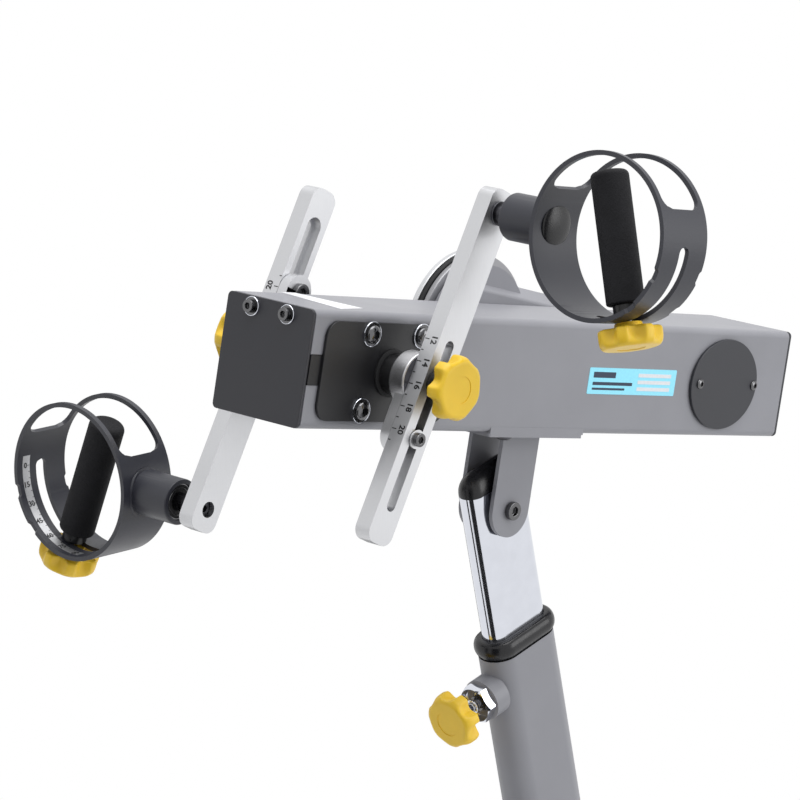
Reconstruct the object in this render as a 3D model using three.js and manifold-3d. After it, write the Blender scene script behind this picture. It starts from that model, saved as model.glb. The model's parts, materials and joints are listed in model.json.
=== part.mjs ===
// Arm ergometer. A leaning telescopic mast on a floor stand carries a tilting head. The head holds a
// hand crank,
// two arms of adjustable length with swivelling ring handles, two belts and a small drum brake.
// Millimetres, +Z up, +X away from the user, and -Y is the side called near.
import * as THREE from 'three';
import { mergeVertices } from 'three/addons/utils/BufferGeometryUtils.js';
import Module from 'manifold-3d';

const wasm = await Module();
wasm.setup();

// General values
const gap = 0.3;
const overrun = 4;
const mergeWithin = 1e-4;
const sides = { band: 40, round: 20, tube: 16, boss: 12, pin: 8, screw: 6, nut: 6, arc: 4, corner: 2 };

// Stance of the machine as it stands in the picture
const stance = {
  pivotHeight: 950,
  mastLean: THREE.MathUtils.degToRad(13),
  headTilt: THREE.MathUtils.degToRad(12.6),
  crankAngle: THREE.MathUtils.degToRad(17.8),
  nearRingTurn: THREE.MathUtils.degToRad(-0.5),
  farRingTurn: THREE.MathUtils.degToRad(-10),
  gripMark: THREE.MathUtils.degToRad(70),
};

// Head: a long square box with a plate on each end, crank axis at its origin
const head = { length: 660, width: 100, height: 100, wall: 2.5, edge: 6, crankSetback: 101.5 };
const endPlate = { thickness: 3, corner: 4.5, tabWidth: 62, tabDepth: 14, tabLength: 8 };
const cover = { width: 98, height: 84, thickness: 3, fromRear: 96.5, lift: -1, lip: 8 };

// Crank bearings and their plates
const bearingPlate = {
  front: 85, back: 75, halfHeight: 42, corner: 14, thickness: 3, tongueHalf: 12.5,
  tongueDepth: 2.2, noseRadius: 17, noseLength: 18, cupRadius: 22, cupLength: 13,
};
const bearing = { outer: 18.5, width: 9 };
const cupHoleRadius = bearingPlate.cupRadius + 5 * gap;

// Crank axle and what turns with it
const axle = { radius: 10, boreRadius: 5.3, boreDepth: 18 };
const carrier = {
  collarRadius: 23.5, collarStart: 71.6, plateStart: 78, plateEnd: 88,
  halfWidth: 15.4, guideAt: 49,
};
const pulley = { drive: 40, driven: 14, second: 38, last: 12, width: 16, rim: 2.4, rimWidth: 2, plane: 20 };
const belt = { thickness: 2.2, width: 11 };
const layShaft = { x: head.length - head.crankSetback - cover.fromRear, z: cover.lift, radius: 6,
  halfLength: 42 };
const shaftBlock = { radius: 13, length: 5 };

// Crank arm, measured from the spindle hole
const arm = {
  width: 31, thickness: 15.8, nearEnd: 19.7, farEnd: 295, corner: 10.5, slotHalf: 5.2, slotStart: 115,
  slotEnd: 266.2, radiusNow: 153, holeRadius: 7.1,
};
const guideScrew = { radius: 4.7, washerRadius: 8.2, washer: 1.6, headRadius: 5.6, head: 4.2 };

// Star knobs
const knob = { radius: 27.5, lobe: 2.4, lobes: 7, bevel: 3, studRadius: 4.7, recess: 9.5, recessDepth: 1.6 };
const armKnob = { thickness: 23, hubRadius: 13, hub: 5.5, stud: 12 };
const gripKnob = { thickness: 17, hubRadius: 11, hub: 4 };
const pullKnob = { thickness: 20, hubRadius: 9, hub: 3 };

// Ring handle
const ring = {
  radius: 70.2, wall: 4, width: 57, windowHalf: 23.5, windowReach: THREE.MathUtils.degToRad(62),
  slotHalf: 6,
  slotFrom: THREE.MathUtils.degToRad(-3), slotTo: THREE.MathUtils.degToRad(97), notch: 2, notchLength: 8,
  notchAt: [18, 48].map(THREE.MathUtils.degToRad), bossRadius: 20.3, boreRadius: 16.2,
  bossEnd: 112.1, fromArm: 128.6,
};
const ringBearing = { width: 8, inner: 8.3, inset: 2.5 };
const spindle = { radius: 8, headRadius: 11.5, head: 6, tipRadius: 6.6, tip: 11 };
const plug = { radius: 18, dome: 4.6, stem: 8 };
const grip = { radius: 16, core: 8, top: 55, bottom: 55.5, cap: 1.5, neckRadius: 11, neckEnd: 64.8,
  tapDepth: 20 };

// Bracket under the head
const bracket = {
  pivotX: 224, pivotDrop: 125, plateFront: 81, plateBack: 47, plate: 3.6, halfWidth: 50, web: 3,
  earRadius: 24.5,
  ear: 4, earInner: 16, webBolt: 5, webHead: 10, webHeadHeight: 4,
};
const pivotBolt = { radius: 5, head: 5, headRadius: 8.3, nutRadius: 9.6, nut: 8 };

// Mast tubes, measured down from the pivot
const inner = { depth: 72, thickness: 26, wall: 2.5, top: 20, bottom: 560, slotHalf: 5.2, slotUp: 41,
  slotDown: 150 };
const sleeve = { depth: 3, thickness: 3.5 };
const outer = { wall: 3, top: 138 };
outer.depth = inner.depth + 2 * (sleeve.depth + outer.wall);
outer.thickness = inner.thickness + 2 * (sleeve.thickness + outer.wall);
const collar = { lip: 2.4, height: 18, sleeve: 93, corner: 4 };
const mastCap = { dome: 20, plug: 14, inset: 12 };
const plunger = {
  drop: 171.5, bossRadius: 19.5, bossLength: 12.7, boreRadius: 10, sleeveRadius: 7.6, nutRadius: 18.5, nut: 10,
  pinRadius: 4.1, collarRadius: 7.2, collar: 3, spring: 7, seat: 7, reach: 27.3, grip: 11,
};
plunger.bossEnd = outer.depth / 2 + plunger.bossLength;
plunger.collarAt = outer.depth / 2 + 2 * gap;
plunger.knobAt = plunger.bossEnd + plunger.reach;

// Floor stand
const stand = {
  footTop: 118, footPlate: 8, footLength: 170, footWidth: 110, beamWidth: 80, beamHeight: 50, beamWall: 3,
  beamFront: 470, beamBack: 250, crossDepth: 60, crossHeight: 40, crossLength: 560, crossWall: 3,
  crossCorner: 8,
  capLip: 4, capPlug: 12, padHalf: 24, padLength: 60, drainRadius: 4,
};
const brake = {
  x: 236, z: 21, boxFront: 196, boxBack: 392, boxDrop: 42, boxTop: 65.2, boxEnd: 66, wall: 2.5,
  rise: THREE.MathUtils.degToRad(33.4), fall: THREE.MathUtils.degToRad(6.8), dome: 62, domeStart: 57,
  flange: 70, flangeEnd: 71.5, spacer: 71.5, spacerEnd: 76, backFlange: 73, backEnd: 82.5, cavity: 60,
  magnetRadius: 9, magnet: 3, magnets: 6, magnetCircle: 44, yoke: 1.5, yokeHalf: 5,
};
const rotor = { radius: 56, thickness: 3, hub: 11, shaft: 6, bearing: 12 };

// Solids: closed three.js geometries joined and cut
function solidOf(geometry) {
  geometry.deleteAttribute('normal');
  geometry.deleteAttribute('uv');
  const merged = mergeVertices(geometry, mergeWithin);
  const place = merged.attributes.position.array;
  const corners = Array.from(merged.index.array);
  let triangles = [];
  for (let i = 0; i < corners.length; i += 3) {
    const [a, b, c] = corners.slice(i, i + 3);
    if (a !== b && b !== c && c !== a) triangles.push([a, b, c]);
  }
  const point = (i) => new THREE.Vector3().fromArray(place, i * 3);
  const volume = triangles.reduce((sum, [a, b, c]) => sum + point(a).dot(point(b).cross(point(c))), 0);
  if (volume < 0) triangles = triangles.map(([a, b, c]) => [a, c, b]);
  return new wasm.Manifold(new wasm.Mesh({
    numProp: 3, vertProperties: Float32Array.from(place), triVerts: Uint32Array.from(triangles.flat()),
  }));
}

function geometryOf(solid) {
  const mesh = solid.getMesh();
  const geometry = new THREE.BufferGeometry();
  geometry.setAttribute('position', new THREE.BufferAttribute(Float32Array.from(mesh.vertProperties), 3));
  geometry.setIndex(new THREE.BufferAttribute(Uint32Array.from(mesh.triVerts), 1));
  return geometry;
}

const ordered = (a, b) => [Math.min(a, b), Math.max(a, b)];
const asSolid = (shape) => (shape.isBufferGeometry ? solidOf(shape) : shape);
const join = (...shapes) => shapes.flat().map(asSolid).reduce((sum, one) => sum.add(one));
const cut = (body, ...tools) => tools.flat().map(asSolid).reduce((left, tool) => left.subtract(tool),
  asSolid(body));
const common = (first, second) => asSolid(first).intersect(asSolid(second));

// Basis of each axis: where a shape's own X, Y and its extrusion go
const bases = {
  x: [[0, 1, 0], [0, 0, 1], [1, 0, 0]],
  y: [[1, 0, 0], [0, 0, 1], [0, -1, 0]],
  z: [[1, 0, 0], [0, 1, 0], [0, 0, 1]],
};

function along(axis, geometry) {
  const [u, v, w] = bases[axis].map((row) => new THREE.Vector3(...row));
  return geometry.applyMatrix4(new THREE.Matrix4().makeBasis(u, v, w));
}

function box([x0, x1], [y0, y1], [z0, z1]) {
  const geometry = new THREE.BoxGeometry(x1 - x0, y1 - y0, z1 - z0);
  return geometry.translate((x0 + x1) / 2, (y0 + y1) / 2, (z0 + z1) / 2);
}

// A prism of a flat shape between two places on an axis; shapes on Y are drawn in X and Z, on X in Y and Z
function prism(axis, shape, from, to, segments = sides.arc, options = {}) {
  const low = Math.min(from, to);
  const high = Math.max(from, to);
  const bevel = options.bevelThickness || 0;
  const geometry = new THREE.ExtrudeGeometry(shape, {
    depth: high - low - 2 * bevel, bevelEnabled: bevel > 0, curveSegments: segments, bevelSegments: 1,
    ...options,
  });
  geometry.translate(0, 0, bevel + (axis === 'y' ? -high : low));
  return along(axis, geometry);
}

const rod = (axis, radius, from, to, cx = 0, cy = 0, segments = sides.tube) =>
  prism(axis, polygonShape(segments, radius, cx, cy), from, to);

function polygonShape(count, radius, cx = 0, cy = 0, turn = 0) {
  const points = Array.from({ length: count }, (_, i) => {
    const angle = turn + (2 * Math.PI * i) / count;
    return new THREE.Vector2(cx + radius * Math.cos(angle), cy + radius * Math.sin(angle));
  });
  return new THREE.Shape(points);
}

function ringShape(outerRadius, innerRadius, cx = 0, cy = 0, segments = sides.tube) {
  const shape = polygonShape(segments, outerRadius, cx, cy);
  shape.holes.push(polygonShape(segments, innerRadius, cx, cy));
  return shape;
}

const tube = (axis, outerRadius, innerRadius, from, to, cx = 0, cy = 0, segments = sides.tube) =>
  prism(axis, ringShape(outerRadius, innerRadius, cx, cy, segments), from, to);

function roundedRect([x0, x1], [y0, y1], r) {
  const shape = new THREE.Shape();
  shape.moveTo(x0 + r, y0).lineTo(x1 - r, y0).absarc(x1 - r, y0 + r, r, -Math.PI / 2, 0);
  shape.lineTo(x1, y1 - r).absarc(x1 - r, y1 - r, r, 0, Math.PI / 2);
  shape.lineTo(x0 + r, y1).absarc(x0 + r, y1 - r, r, Math.PI / 2, Math.PI);
  return shape.lineTo(x0, y0 + r).absarc(x0 + r, y0 + r, r, Math.PI, 1.5 * Math.PI);
}

// A stadium outline whose straight sides run along the shape's first axis
function stadium(length, width, cx = 0, cy = 0) {
  const r = width / 2;
  const reach = length / 2 - r;
  const shape = new THREE.Shape();
  shape.absarc(cx + reach, cy, r, -Math.PI / 2, Math.PI / 2);
  return shape.absarc(cx - reach, cy, r, Math.PI / 2, 1.5 * Math.PI);
}

function ellipseShape(width, height, cx, cy, count) {
  const points = Array.from({ length: count }, (_, i) => {
    const angle = (2 * Math.PI * i) / count;
    return new THREE.Vector2(cx + (width / 2) * Math.cos(angle), cy + (height / 2) * Math.sin(angle));
  });
  return new THREE.Shape(points);
}

// A sector of a ring, used to cut windows and slots in the band
function sectorShape(innerRadius, outerRadius, from, to) {
  const count = Math.ceil((to - from) / (Math.PI / sides.boss));
  const arc = (radius) => Array.from({ length: count + 1 }, (_, i) => {
    const angle = from + ((to - from) * i) / count;
    return new THREE.Vector2(radius * Math.cos(angle), radius * Math.sin(angle));
  });
  return new THREE.Shape([...arc(outerRadius), ...arc(innerRadius).reverse()]);
}

// Materials
const paint = (color, roughness, metalness) => new THREE.MeshStandardMaterial({ color, roughness,
  metalness });
const finish = {
  grey: paint(0x95969b, 0.45, 0.2),
  dark: paint(0x46464d, 0.5, 0.2),
  slate: paint(0x55575f, 0.5, 0.1),
  satin: paint(0xd5d6d9, 0.35, 0.9),
  chrome: paint(0xe6e8ee, 0.08, 1),
  steel: paint(0xb4b6ba, 0.3, 1),
  yellow: paint(0xe4be46, 0.4, 0),
  foam: paint(0x262628, 0.9, 0),
  black: paint(0x1c1c1e, 0.5, 0),
  rubber: paint(0x18181a, 0.85, 0),
};

function add(parent, name, shape, material) {
  const mesh = new THREE.Mesh(shape.isBufferGeometry ? shape : geometryOf(shape), material);
  mesh.name = name;
  parent.add(mesh);
  return mesh;
}

function frame(parent, x = 0, y = 0, z = 0) {
  const group = new THREE.Group();
  group.position.set(x, y, z);
  parent.add(group);
  return group;
}

// Fasteners: head at `seat`, shank going in the direction of `way` along the axis
function screw(axis, seat, way, length, shank, headRadius, headHeight, cx, cy, segments = sides.screw) {
  const top = seat - way * headHeight;
  return join(
    rod(axis, headRadius, seat, top, cx, cy, segments + 2),
    rod(axis, shank, seat - (way * headHeight) / 2, seat + way * length, cx, cy, segments),
  );
}

function nut(axis, from, to, radius, hole, cx, cy) {
  const shape = polygonShape(sides.nut, radius, cx, cy);
  shape.holes.push(polygonShape(sides.nut * 2, hole, cx, cy));
  return prism(axis, shape, from, to);
}

// Star knob on an axis: hub from `seat` outwards in direction `way`, then the lobed body
function lobedShape(radius) {
  const count = knob.lobes * sides.arc;
  const points = Array.from({ length: count }, (_, i) => {
    const angle = (2 * Math.PI * i) / count;
    const r = radius - knob.lobe + knob.lobe * Math.cos(knob.lobes * angle);
    return new THREE.Vector2(r * Math.cos(angle), r * Math.sin(angle));
  });
  return new THREE.Shape(points);
}

function starKnob(axis, seat, way, kind) {
  const bodyStart = seat + way * kind.hub;
  const bodyEnd = bodyStart + way * kind.thickness;
  const body = prism(axis, lobedShape(knob.radius - knob.bevel), bodyStart, bodyEnd, 1, {
    bevelThickness: knob.bevel, bevelSize: knob.bevel,
  });
  const hub = rod(axis, kind.hubRadius, seat, bodyStart + way * knob.bevel, 0, 0, sides.boss);
  const recess = rod(axis, knob.recess, bodyEnd - way * knob.recessDepth, bodyEnd + way * overrun, 0, 0,
    sides.boss);
  return cut(join(body, hub), recess);
}

// Mast

function outerTube(lean) {
  const drop = stance.pivotHeight - stand.footTop;
  const shape = stadium(outer.depth, outer.thickness);
  shape.holes.push(stadium(outer.depth - 2 * outer.wall, outer.thickness - 2 * outer.wall));
  const long = prism('z', shape, -outer.top, -drop - stand.footWidth);
  const level = (geometry) => geometry.rotateY(lean);
  const footX = drop * Math.tan(lean);
  const ground = level(box(
    [footX - stand.beamFront, footX + stand.beamBack], [-stand.footLength, stand.footLength],
    [-2 * drop, -drop - stand.footPlate / 2],
  ));
  const rect = roundedRect(
    [footX - stand.footLength / 2, footX + stand.footLength / 2], [-stand.footWidth / 2,
      stand.footWidth / 2],
    bearingPlate.corner,
  );
  const plate = level(prism('z', rect, -drop - stand.footPlate, -drop, sides.corner));
  const bossFrom = -outer.depth / 2 + outer.wall;
  const boss = rod('x', plunger.bossRadius, bossFrom, -plunger.bossEnd, 0, -plunger.drop, sides.round);
  const bore = rod('x', plunger.boreRadius, -outer.depth / 2, -plunger.bossEnd - overrun, 0, -plunger.drop);
  const eye = rod('x', plunger.pinRadius + gap, -outer.depth / 2 - overrun, bossFrom + overrun, 0,
    -plunger.drop);
  const hollow = prism('z', stadium(outer.depth - 2 * outer.wall, outer.thickness - 2 * outer.wall), 0,
    -2 * plunger.drop);
  return cut(join(cut(long, ground), plate, cut(boss, hollow)), bore, eye);
}

function mastCollar() {
  const lip = collar.lip;
  const body = prism('z', stadium(outer.depth + 2 * lip, outer.thickness + 2 * lip),
    -outer.top + gap, -outer.top + collar.height, sides.arc, { bevelThickness: collar.corner / 2,
      bevelSize: 0 });
  const sleeve = prism('z', stadium(outer.depth - 2 * outer.wall - 2 * gap,
    outer.thickness - 2 * outer.wall - 2 * gap),
    -outer.top - collar.sleeve + collar.height, -outer.top + collar.corner);
  const passage = prism('z', stadium(inner.depth + 2 * gap, inner.thickness + 2 * gap),
    -outer.top - collar.sleeve, -outer.top + collar.height + overrun);
  const eye = rod('x', plunger.pinRadius + gap, -outer.depth, 0, 0, -plunger.drop);
  return cut(join(body, sleeve), passage, eye);
}

function innerTube() {
  const shape = stadium(inner.depth, inner.thickness);
  shape.holes.push(stadium(inner.depth - 2 * inner.wall, inner.thickness - 2 * inner.wall));
  const slot = box([-inner.depth, 0], [-inner.slotHalf, inner.slotHalf],
    [-plunger.drop - inner.slotDown, -plunger.drop + inner.slotUp]);
  const pivot = rod('y', pivotBolt.radius + gap, -inner.thickness, inner.thickness, 0, 0, sides.round);
  return cut(prism('z', shape, -inner.bottom, inner.top), slot, pivot);
}

function capDome() {
  const start = stadium(inner.depth - 2 * mastCap.inset, inner.thickness - 2 * mastCap.inset);
  const dome = prism('z', start, inner.top + gap - mastCap.dome, inner.top + gap + mastCap.dome, sides.arc, {
    bevelThickness: mastCap.dome, bevelSize: mastCap.inset, bevelSegments: sides.arc,
  });
  const upper = box([-inner.depth, inner.depth], [-inner.depth, inner.depth],
    [inner.top + gap, inner.top + 2 * mastCap.dome]);
  const fit = inner.wall + gap;
  const stem = prism('z', stadium(inner.depth - 2 * fit, inner.thickness - 2 * fit),
    inner.top - mastCap.plug, inner.top + 2 * gap);
  return join(common(dome, upper), stem);
}

function plungerHousing() {
  const sleeve = tube('x', plunger.boreRadius - gap, plunger.sleeveRadius, -outer.depth / 2 - gap,
    -plunger.bossEnd - 2 * gap, 0, -plunger.drop);
  const hex = prism('x', polygonShape(sides.nut, plunger.nutRadius, 0, -plunger.drop),
    -plunger.bossEnd - gap, -plunger.bossEnd - gap - plunger.nut);
  const eye = rod('x', plunger.pinRadius + gap, 0, -plunger.knobAt, 0, -plunger.drop);
  const seat = rod('x', plunger.sleeveRadius, 0, -plunger.bossEnd - plunger.seat - gap, 0, -plunger.drop);
  return cut(join(sleeve, hex), eye, seat);
}

function plungerPin() {
  const shaft = rod('x', plunger.pinRadius, -inner.depth / 2 + 2 * inner.wall,
    -plunger.knobAt - plunger.grip, 0, -plunger.drop);
  const stop = rod('x', plunger.collarRadius, -plunger.collarAt, -plunger.collarAt - plunger.collar, 0,
    -plunger.drop);
  return join(shaft, stop);
}

function buildMast(machine) {
  const lean = frame(machine, 0, 0, stance.pivotHeight);
  lean.rotation.y = -stance.mastLean;
  add(lean, 'mast_outer_tube', outerTube(stance.mastLean), finish.grey);
  add(lean, 'mast_collar', mastCollar(), finish.black);
  add(lean, 'mast_inner_tube', innerTube(), finish.chrome);
  add(lean, 'mast_cap', capDome(), finish.black);
  add(lean, 'plunger_housing', plungerHousing(), finish.chrome);
  add(lean, 'plunger_pin', plungerPin(), finish.steel);
  const springEnd = -plunger.bossEnd - plunger.seat;
  add(lean, 'plunger_spring', tube('x', plunger.sleeveRadius - gap, plunger.pinRadius + gap, springEnd,
    springEnd + plunger.spring, 0, -plunger.drop), finish.steel);
  const seat = frame(lean, -plunger.knobAt, 0, -plunger.drop);
  const body = starKnob('x', 0, -1, pullKnob);
  add(seat, 'plunger_knob', cut(body, rod('x', plunger.pinRadius + gap, overrun, -plunger.grip - gap)),
    finish.yellow);
}

// Floor stand

function buildStand(machine) {
  const footX = (stance.pivotHeight - stand.footTop) * Math.tan(stance.mastLean);
  const base = frame(machine, footX);
  const beamTop = stand.footTop - stand.footPlate - gap;
  const beamLow = beamTop - stand.beamHeight;
  const crossTop = beamLow - gap;
  const crossLow = crossTop - stand.crossHeight;
  const section = roundedRect([-stand.beamWidth / 2, stand.beamWidth / 2], [beamLow, beamTop], stand.capLip);
  const wall = stand.beamWall;
  section.holes.push(roundedRect([-stand.beamWidth / 2 + wall, stand.beamWidth / 2 - wall],
    [beamLow + wall, beamTop - wall], stand.capLip / 2));
  const crossAt = [-stand.beamFront + stand.crossDepth, stand.beamBack - stand.crossDepth];
  const long = prism('x', section, -stand.beamFront, stand.beamBack, sides.corner);
  const ends = [[-stand.beamFront, 1], [stand.beamBack, -1]].map(([end, way]) => box(
    ordered(end, end + way * wall), [-stand.beamWidth / 2 + wall / 2, stand.beamWidth / 2 - wall / 2],
    [beamLow + wall / 2, beamTop - wall / 2]));
  const drain = rod('z', stand.drainRadius, beamLow - overrun, beamLow + 2 * wall, 0, 0, sides.pin);
  const beam = cut(join(long, ends), drain);
  add(base, 'floor_beam', beam, finish.grey);

  const crossShape = (x) => {
    const shape = roundedRect([x - stand.crossDepth / 2, x + stand.crossDepth / 2], [crossLow, crossTop],
      stand.crossCorner);
    const t = stand.crossWall;
    shape.holes.push(roundedRect([x - stand.crossDepth / 2 + t, x + stand.crossDepth / 2 - t],
      [crossLow + t, crossTop - t], stand.crossCorner - t));
    return shape;
  };
  ['stabiliser_front', 'stabiliser_rear'].forEach((name, i) => {
    add(base, name, asSolid(prism('y', crossShape(crossAt[i]), -stand.crossLength / 2, stand.crossLength / 2,
      sides.corner)), finish.grey);
  });

  const fit = stand.crossWall + gap;
  const footAt = crossAt.flatMap((x) => [-1, 1].map((way) => [x, way]));
  footAt.forEach(([x, way], i) => {
    const end = (way * stand.crossLength) / 2;
    const plug = fit + stand.crossCorner / 2;
    const cap = prism('y', roundedRect([x - stand.crossDepth / 2, x + stand.crossDepth / 2], [0, crossTop],
      stand.crossCorner), end + way * gap, end + way * (gap + stand.capLip), sides.corner);
    const stem = box([x - stand.crossDepth / 2 + plug, x + stand.crossDepth / 2 - plug],
      ordered(end - way * stand.capPlug, end + way * 2 * gap), [crossLow + fit, crossTop - fit]);
    const pad = box([x - stand.padHalf, x + stand.padHalf],
      ordered(end - way * stand.padLength, end + way * 2 * gap), [0, crossLow - gap]);
    add(base, `stand_foot_${i + 1}`, join(cap, stem, pad), finish.rubber);
  });
}

// Head box and what is fixed to it

const side = head.width / 2;
const headFront = -head.crankSetback;
const headBack = head.length - head.crankSetback;
const floorZ = -head.height / 2;

function headShell() {
  const section = roundedRect([-side, side], [floorZ, -floorZ], head.edge);
  const t = head.wall;
  section.holes.push(roundedRect([-side + t, side - t], [floorZ + t, -floorZ - t], head.edge - t));
  const from = headFront + endPlate.thickness + gap;
  const to = headBack - endPlate.thickness - gap;
  const long = prism('x', section, from, to, sides.corner);
  const tabs = [[from, 1], [to, -1]].map(([end, way]) =>
    box(ordered(end, end + way * endPlate.tabLength), [-endPlate.tabWidth / 2, endPlate.tabWidth / 2],
      [-floorZ - t - endPlate.tabDepth, -floorZ - t / 2]));
  const p = bearingPlate;
  const crankSlot = box([headFront - overrun, 0], [-head.width, head.width],
    [-p.tongueHalf - gap, p.tongueHalf + gap]);
  const cupHole = rod('y', cupHoleRadius, -head.width, head.width, 0, 0, sides.band);
  const hatch = prism('y', ellipseShape(cover.width - 2 * cover.lip, cover.height - 2 * cover.lip,
    layShaft.x,
    layShaft.z, sides.tube), -head.width, 0);
  const shaftHole = rod('y', rotor.bearing + gap, 0, head.width, brake.x, brake.z);
  const webBolt = rod('z', bracket.webBolt + gap, floorZ - overrun, floorZ + 2 * t, bracket.pivotX, 0,
    sides.screw);
  return cut(join(long, tabs), crankSlot, cupHole, hatch, shaftHole, webBolt);
}

function buildEnds(body) {
  [['end_plate_front', headFront, 1], ['end_plate_rear', headBack, -1]].forEach(([name, face, way]) => {
    const shape = roundedRect([-side + gap, side - gap], [floorZ + gap, -floorZ - gap], endPlate.corner);
    add(body, name, asSolid(prism('x', shape, face, face + way * endPlate.thickness, sides.corner)),
      finish.dark);
  });
}

// Bearing plate of the near side; the far one is its mirror image
function bearingPlateSolid(way) {
  const p = bearingPlate;
  const face = way * (side + gap);
  const shape = roundedRect([-p.front, p.back], [-p.halfHeight, p.halfHeight], p.corner);
  const plate = prism('y', shape, face, face + way * p.thickness, sides.corner);
  const tongue = box([headFront + endPlate.thickness + gap, -p.front + p.corner],
    ordered(face - way * p.tongueDepth, face + way * gap), [-p.tongueHalf, p.tongueHalf]);
  const nose = rod('y', p.noseRadius, face, face + way * (p.thickness + p.noseLength), 0, 0, sides.round);
  const cup = rod('y', p.cupRadius, face + way * p.thickness, face - way * p.cupLength, 0, 0, sides.round);
  const pocket = rod('y', bearing.outer + gap, face, face - way * (p.cupLength + overrun), 0, 0,
    sides.round);
  const eye = rod('y', axle.radius + gap, -head.width, head.width, 0, 0, sides.round);
  return cut(join(plate, tongue, nose, cup), pocket, eye);
}

function crankBearing(way) {
  const at = way * side;
  return asSolid(tube('y', bearing.outer, axle.radius + gap, at, at - way * bearing.width, 0, 0,
    sides.round));
}

function buildBearingPlates(body) {
  [['near', -1], ['far', 1]].forEach(([name, way]) => {
    add(body, `bearing_plate_${name}`, bearingPlateSolid(way), finish.dark);
    add(body, `crank_bearing_${name}`, crankBearing(way), finish.steel);
  });
}

function buildCover(body) {
  const shape = ellipseShape(cover.width, cover.height, layShaft.x, layShaft.z, sides.band);
  add(body, 'oval_cover', asSolid(prism('y', shape, -side - gap, -side - gap - cover.thickness,
    sides.corner)),
    finish.dark);
}

// Bracket under the head and its pivot hardware

function clevis() {
  const b = bracket;
  const top = floorZ - gap;
  const plateLow = top - b.plate;
  const plate = box([b.pivotX - b.plateFront, b.pivotX + b.plateBack], [-b.halfWidth, b.halfWidth],
    [plateLow, top]);
  const web = box([b.pivotX - b.earRadius, b.pivotX + b.earRadius], [-b.earInner - b.ear,
    b.earInner + b.ear],
    [plateLow - b.web, plateLow + gap]);
  const earShape = new THREE.Shape();
  earShape.moveTo(b.pivotX + b.earRadius, plateLow + gap).lineTo(b.pivotX - b.earRadius, plateLow + gap);
  earShape.lineTo(b.pivotX - b.earRadius, -b.pivotDrop);
  earShape.absarc(b.pivotX, -b.pivotDrop, b.earRadius, Math.PI, 2 * Math.PI);
  const ears = [-1, 1].map((way) => prism('y', earShape, way * b.earInner, way * (b.earInner + b.ear),
    sides.arc * 2));
  const pivot = rod('y', pivotBolt.radius + gap, -b.halfWidth, b.halfWidth, b.pivotX, -b.pivotDrop,
    sides.round);
  const webHole = rod('z', b.webBolt + gap, plateLow - b.web - overrun, top + overrun, b.pivotX, 0,
    sides.screw);
  return cut(join(plate, web, ears), pivot, webHole);
}

function buildBracket(body) {
  const b = bracket;
  const p = pivotBolt;
  add(body, 'clevis_bracket', clevis(), finish.grey);
  const low = floorZ - gap - b.plate - b.web - gap;
  add(body, 'bracket_bolt', screw('z', low, 1, b.plate + b.web + 3 * overrun, b.webBolt, b.webHead,
    b.webHeadHeight, b.pivotX, 0), finish.black);
  const ear = b.earInner + b.ear;
  const at = [b.pivotX, -b.pivotDrop];
  add(body, 'pivot_bolt', screw('y', -ear - gap, 1, 2 * ear + p.nut + 2 * overrun, p.radius,
    p.headRadius, p.head,
    ...at, sides.pin), finish.steel);
  add(body, 'pivot_nut', asSolid(nut('y', ear + gap, ear + gap + p.nut, p.nutRadius, p.radius + gap, ...at)),
    finish.steel);
}

// Belts and shafts

// A flat belt round two pulleys: the hull of two circles less the same hull drawn in by the belt's thickness
function beltShape(x1, z1, r1, x2, z2, r2) {
  const way = Math.atan2(z2 - z1, x2 - x1);
  const lean = Math.acos((r1 - r2) / Math.hypot(x2 - x1, z2 - z1));
  const arc = (x, z, r, from, to) => Array.from({ length: sides.round + 1 }, (_, i) => {
    const angle = from + ((to - from) * i) / sides.round;
    return new THREE.Vector2(x + r * Math.cos(angle), z + r * Math.sin(angle));
  });
  return new THREE.Shape([
    ...arc(x1, z1, r1, way + lean, way + 2 * Math.PI - lean),
    ...arc(x2, z2, r2, way - lean, way + lean),
  ]);
}

function beltSolid(y, first, second) {
  const seat = gap;
  const shape = beltShape(first[0], first[1], first[2] + seat + belt.thickness, second[0], second[1],
    second[2] + seat + belt.thickness);
  shape.holes.push(beltShape(first[0], first[1], first[2] + seat, second[0], second[1], second[2] + seat));
  return asSolid(prism('y', shape, y - belt.width / 2, y + belt.width / 2));
}

function pulleySolid(y, radius, bore, x = 0, z = 0) {
  const half = pulley.width / 2;
  const inside = half - pulley.rimWidth;
  const rims = [-1, 1].map((way) =>
    rod('y', radius + pulley.rim, y + way * half, y + way * inside, x, z, sides.round));
  return cut(join(rims, rod('y', radius, y - half, y + half, x, z, sides.round)),
    rod('y', bore + gap, y - head.width, y + head.width, x, z));
}

function buildDrive(body) {
  const near = -pulley.plane;
  const far = pulley.plane;
  add(body, 'drive_belt', beltSolid(near, [0, 0, pulley.drive], [layShaft.x, layShaft.z, pulley.driven]),
    finish.rubber);
  add(body, 'second_belt', beltSolid(far, [layShaft.x, layShaft.z, pulley.second], [brake.x, brake.z,
    pulley.last]),
    finish.rubber);
  const wallIn = side - head.wall - gap;
  const bridge = cut(shaftBridge(), rod('y', layShaft.radius + gap, -head.width, 0, layShaft.x, layShaft.z));
  add(body, 'lay_shaft_bridge', bridge, finish.steel);
  add(body, 'rotor_bearing', asSolid(tube('y', rotor.bearing, rotor.shaft + gap, wallIn - overrun,
    side + head.wall + gap, brake.x, brake.z)), finish.steel);

  add(frame(body), 'lay_shaft', join(
    rod('y', layShaft.radius, -layShaft.halfLength, layShaft.halfLength, layShaft.x, layShaft.z),
    pulleySolid(near, pulley.driven, layShaft.radius - 2 * gap, layShaft.x, layShaft.z),
    pulleySolid(far, pulley.second, layShaft.radius - 2 * gap, layShaft.x, layShaft.z),
  ), finish.steel);
}

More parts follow.
